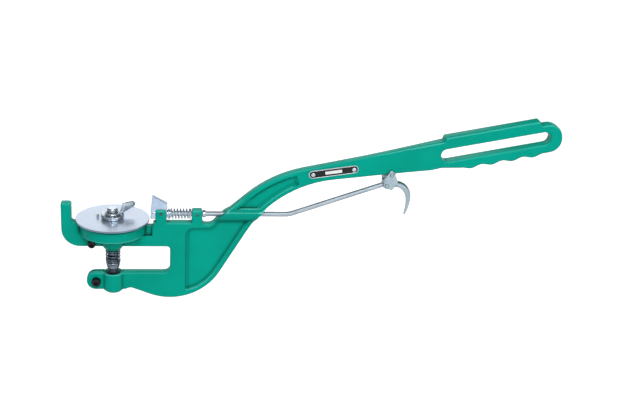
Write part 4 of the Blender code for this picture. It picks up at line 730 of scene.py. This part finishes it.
def make_floor():
    """White paper sweep under the tool. The object's shadow falls on it, and metal mirrors it white."""
    bm = bmesh.new()
    level = cad_box[0].z - 0.22
    corners = [bm.verts.new((x, y, level)) for x, y in ((-40, -40), (40, -40), (40, 40), (-40, 40))]
    bm.faces.new(corners)
    mesh = bpy.data.meshes.new("floor")
    bm.to_mesh(mesh)
    bm.free()
    floor = bpy.data.objects.new("floor", mesh)
    bpy.context.scene.collection.objects.link(floor)
    paper, tree, place = begin("white_paper_sweep")
    sight = add(tree, "ShaderNodeLightPath").outputs
    mirrored = add(tree, "ShaderNodeMath", {0: sight["Is Glossy Ray"], 1: sight["Is Transmission Ray"]},
                   operation="MAXIMUM")
    seen = add(tree, "ShaderNodeMath", {0: sight["Is Camera Ray"], 1: mirrored}, operation="MAXIMUM")
    # The far sweep gets less lamp light, so its glow grows with distance from the tool
    away = add(tree, "ShaderNodeVectorMath", {0: place}, operation="LENGTH").outputs["Value"]
    lift = add(tree, "ShaderNodeMapRange", {"Value": away, "From Min": 0.4, "From Max": 2.6,
                                            "To Min": 0.46, "To Max": 0.78})
    glow = add(tree, "ShaderNodeMath", {0: seen, 1: lift}, operation="MULTIPLY")
    matt = add(tree, "ShaderNodeBsdfDiffuse", {"Color": linear("#F2F2F2")})
    light = add(tree, "ShaderNodeEmission", {"Strength": glow})
    both = add(tree, "ShaderNodeAddShader", {0: matt, 1: light})
    add(tree, "ShaderNodeOutputMaterial", {"Surface": both})
    mesh.materials.append(paper)


def make_studio():
    """Soft boxes in front, above and behind, in a pale room, greyer at the back and white at its foot."""
    world = bpy.data.worlds.new("pale_room")
    world.use_nodes = True
    tree = world.node_tree
    tree.nodes.clear()
    toward = add(tree, "ShaderNodeTexCoord").outputs["Generated"]
    axes = add(tree, "ShaderNodeSeparateXYZ", {0: toward}).outputs
    shade = add(tree, "ShaderNodeMapRange", {"Value": axes["Y"], "From Min": -0.9, "From Max": 0.9,
                                             "To Min": 0.47, "To Max": 0.08})
    foot = add(tree, "ShaderNodeMapRange", {"Value": axes["Z"], "From Min": 0.02, "From Max": 0.14,
                                            "To Min": 0.35, "To Max": 0.0})
    glow = add(tree, "ShaderNodeMath", {0: shade, 1: foot}, operation="ADD")
    # How bright the room is beside a white wall
    paleness = 0.8
    lit = add(tree, "ShaderNodeMath", {0: glow, 1: paleness}, operation="MULTIPLY")
    # The sweep rises white behind the horizon, for the camera and for what metal mirrors
    sight = add(tree, "ShaderNodeLightPath").outputs
    mirrored = add(tree, "ShaderNodeMath", {0: sight["Is Glossy Ray"], 1: sight["Is Transmission Ray"]},
                   operation="MAXIMUM")
    seen = add(tree, "ShaderNodeMath", {0: sight["Is Camera Ray"], 1: mirrored}, operation="MAXIMUM")
    rise = add(tree, "ShaderNodeMapRange", {"Value": axes["Z"], "From Min": 0.12, "From Max": 0.25,
                                            "To Min": 1.0, "To Max": 0.0})
    backdrop = add(tree, "ShaderNodeMath", {0: seen, 1: rise}, operation="MULTIPLY")
    strength = add(tree, "ShaderNodeMix", {0: backdrop, 2: lit, 3: 1.0})
    room = add(tree, "ShaderNodeBackground", {"Color": (1.0, 1.0, 1.0, 1.0), "Strength": strength})
    add(tree, "ShaderNodeOutputWorld", {"Surface": room})
    bpy.context.scene.world = world

    make_lamp("key_box", (-0.3, -1.55, 1.2), (-0.15, 0, -0.05), 0.9, 0.9, 22.5)
    make_lamp("fill_box", (1.0, -1.5, 0.4), (-0.1, 0, -0.05), 0.8, 1.0, 6.0)
    make_lamp("top_strip", (-0.2, -0.6, 1.25), (-0.2, 0, 0), 1.8, 0.08, 2.5)
    make_lamp("back_card", (-0.38, 1.5, 0.45), (-0.38, 0, -0.08), 1.2, 0.7, 3.8)
    make_lamp("rear_box", (0.1, 1.3, 1.2), (-0.15, 0, -0.05), 0.8, 0.8, 8.0, mirrored=False)
    bpy.context.scene.view_settings.view_transform = "Standard"


make_casting()
make_fittings()
make_disc()
make_stud()
make_spring_seat()
make_springs()
make_socket_screws()
make_nameplate()
make_rivets()
make_camera()
make_floor()
make_studio()
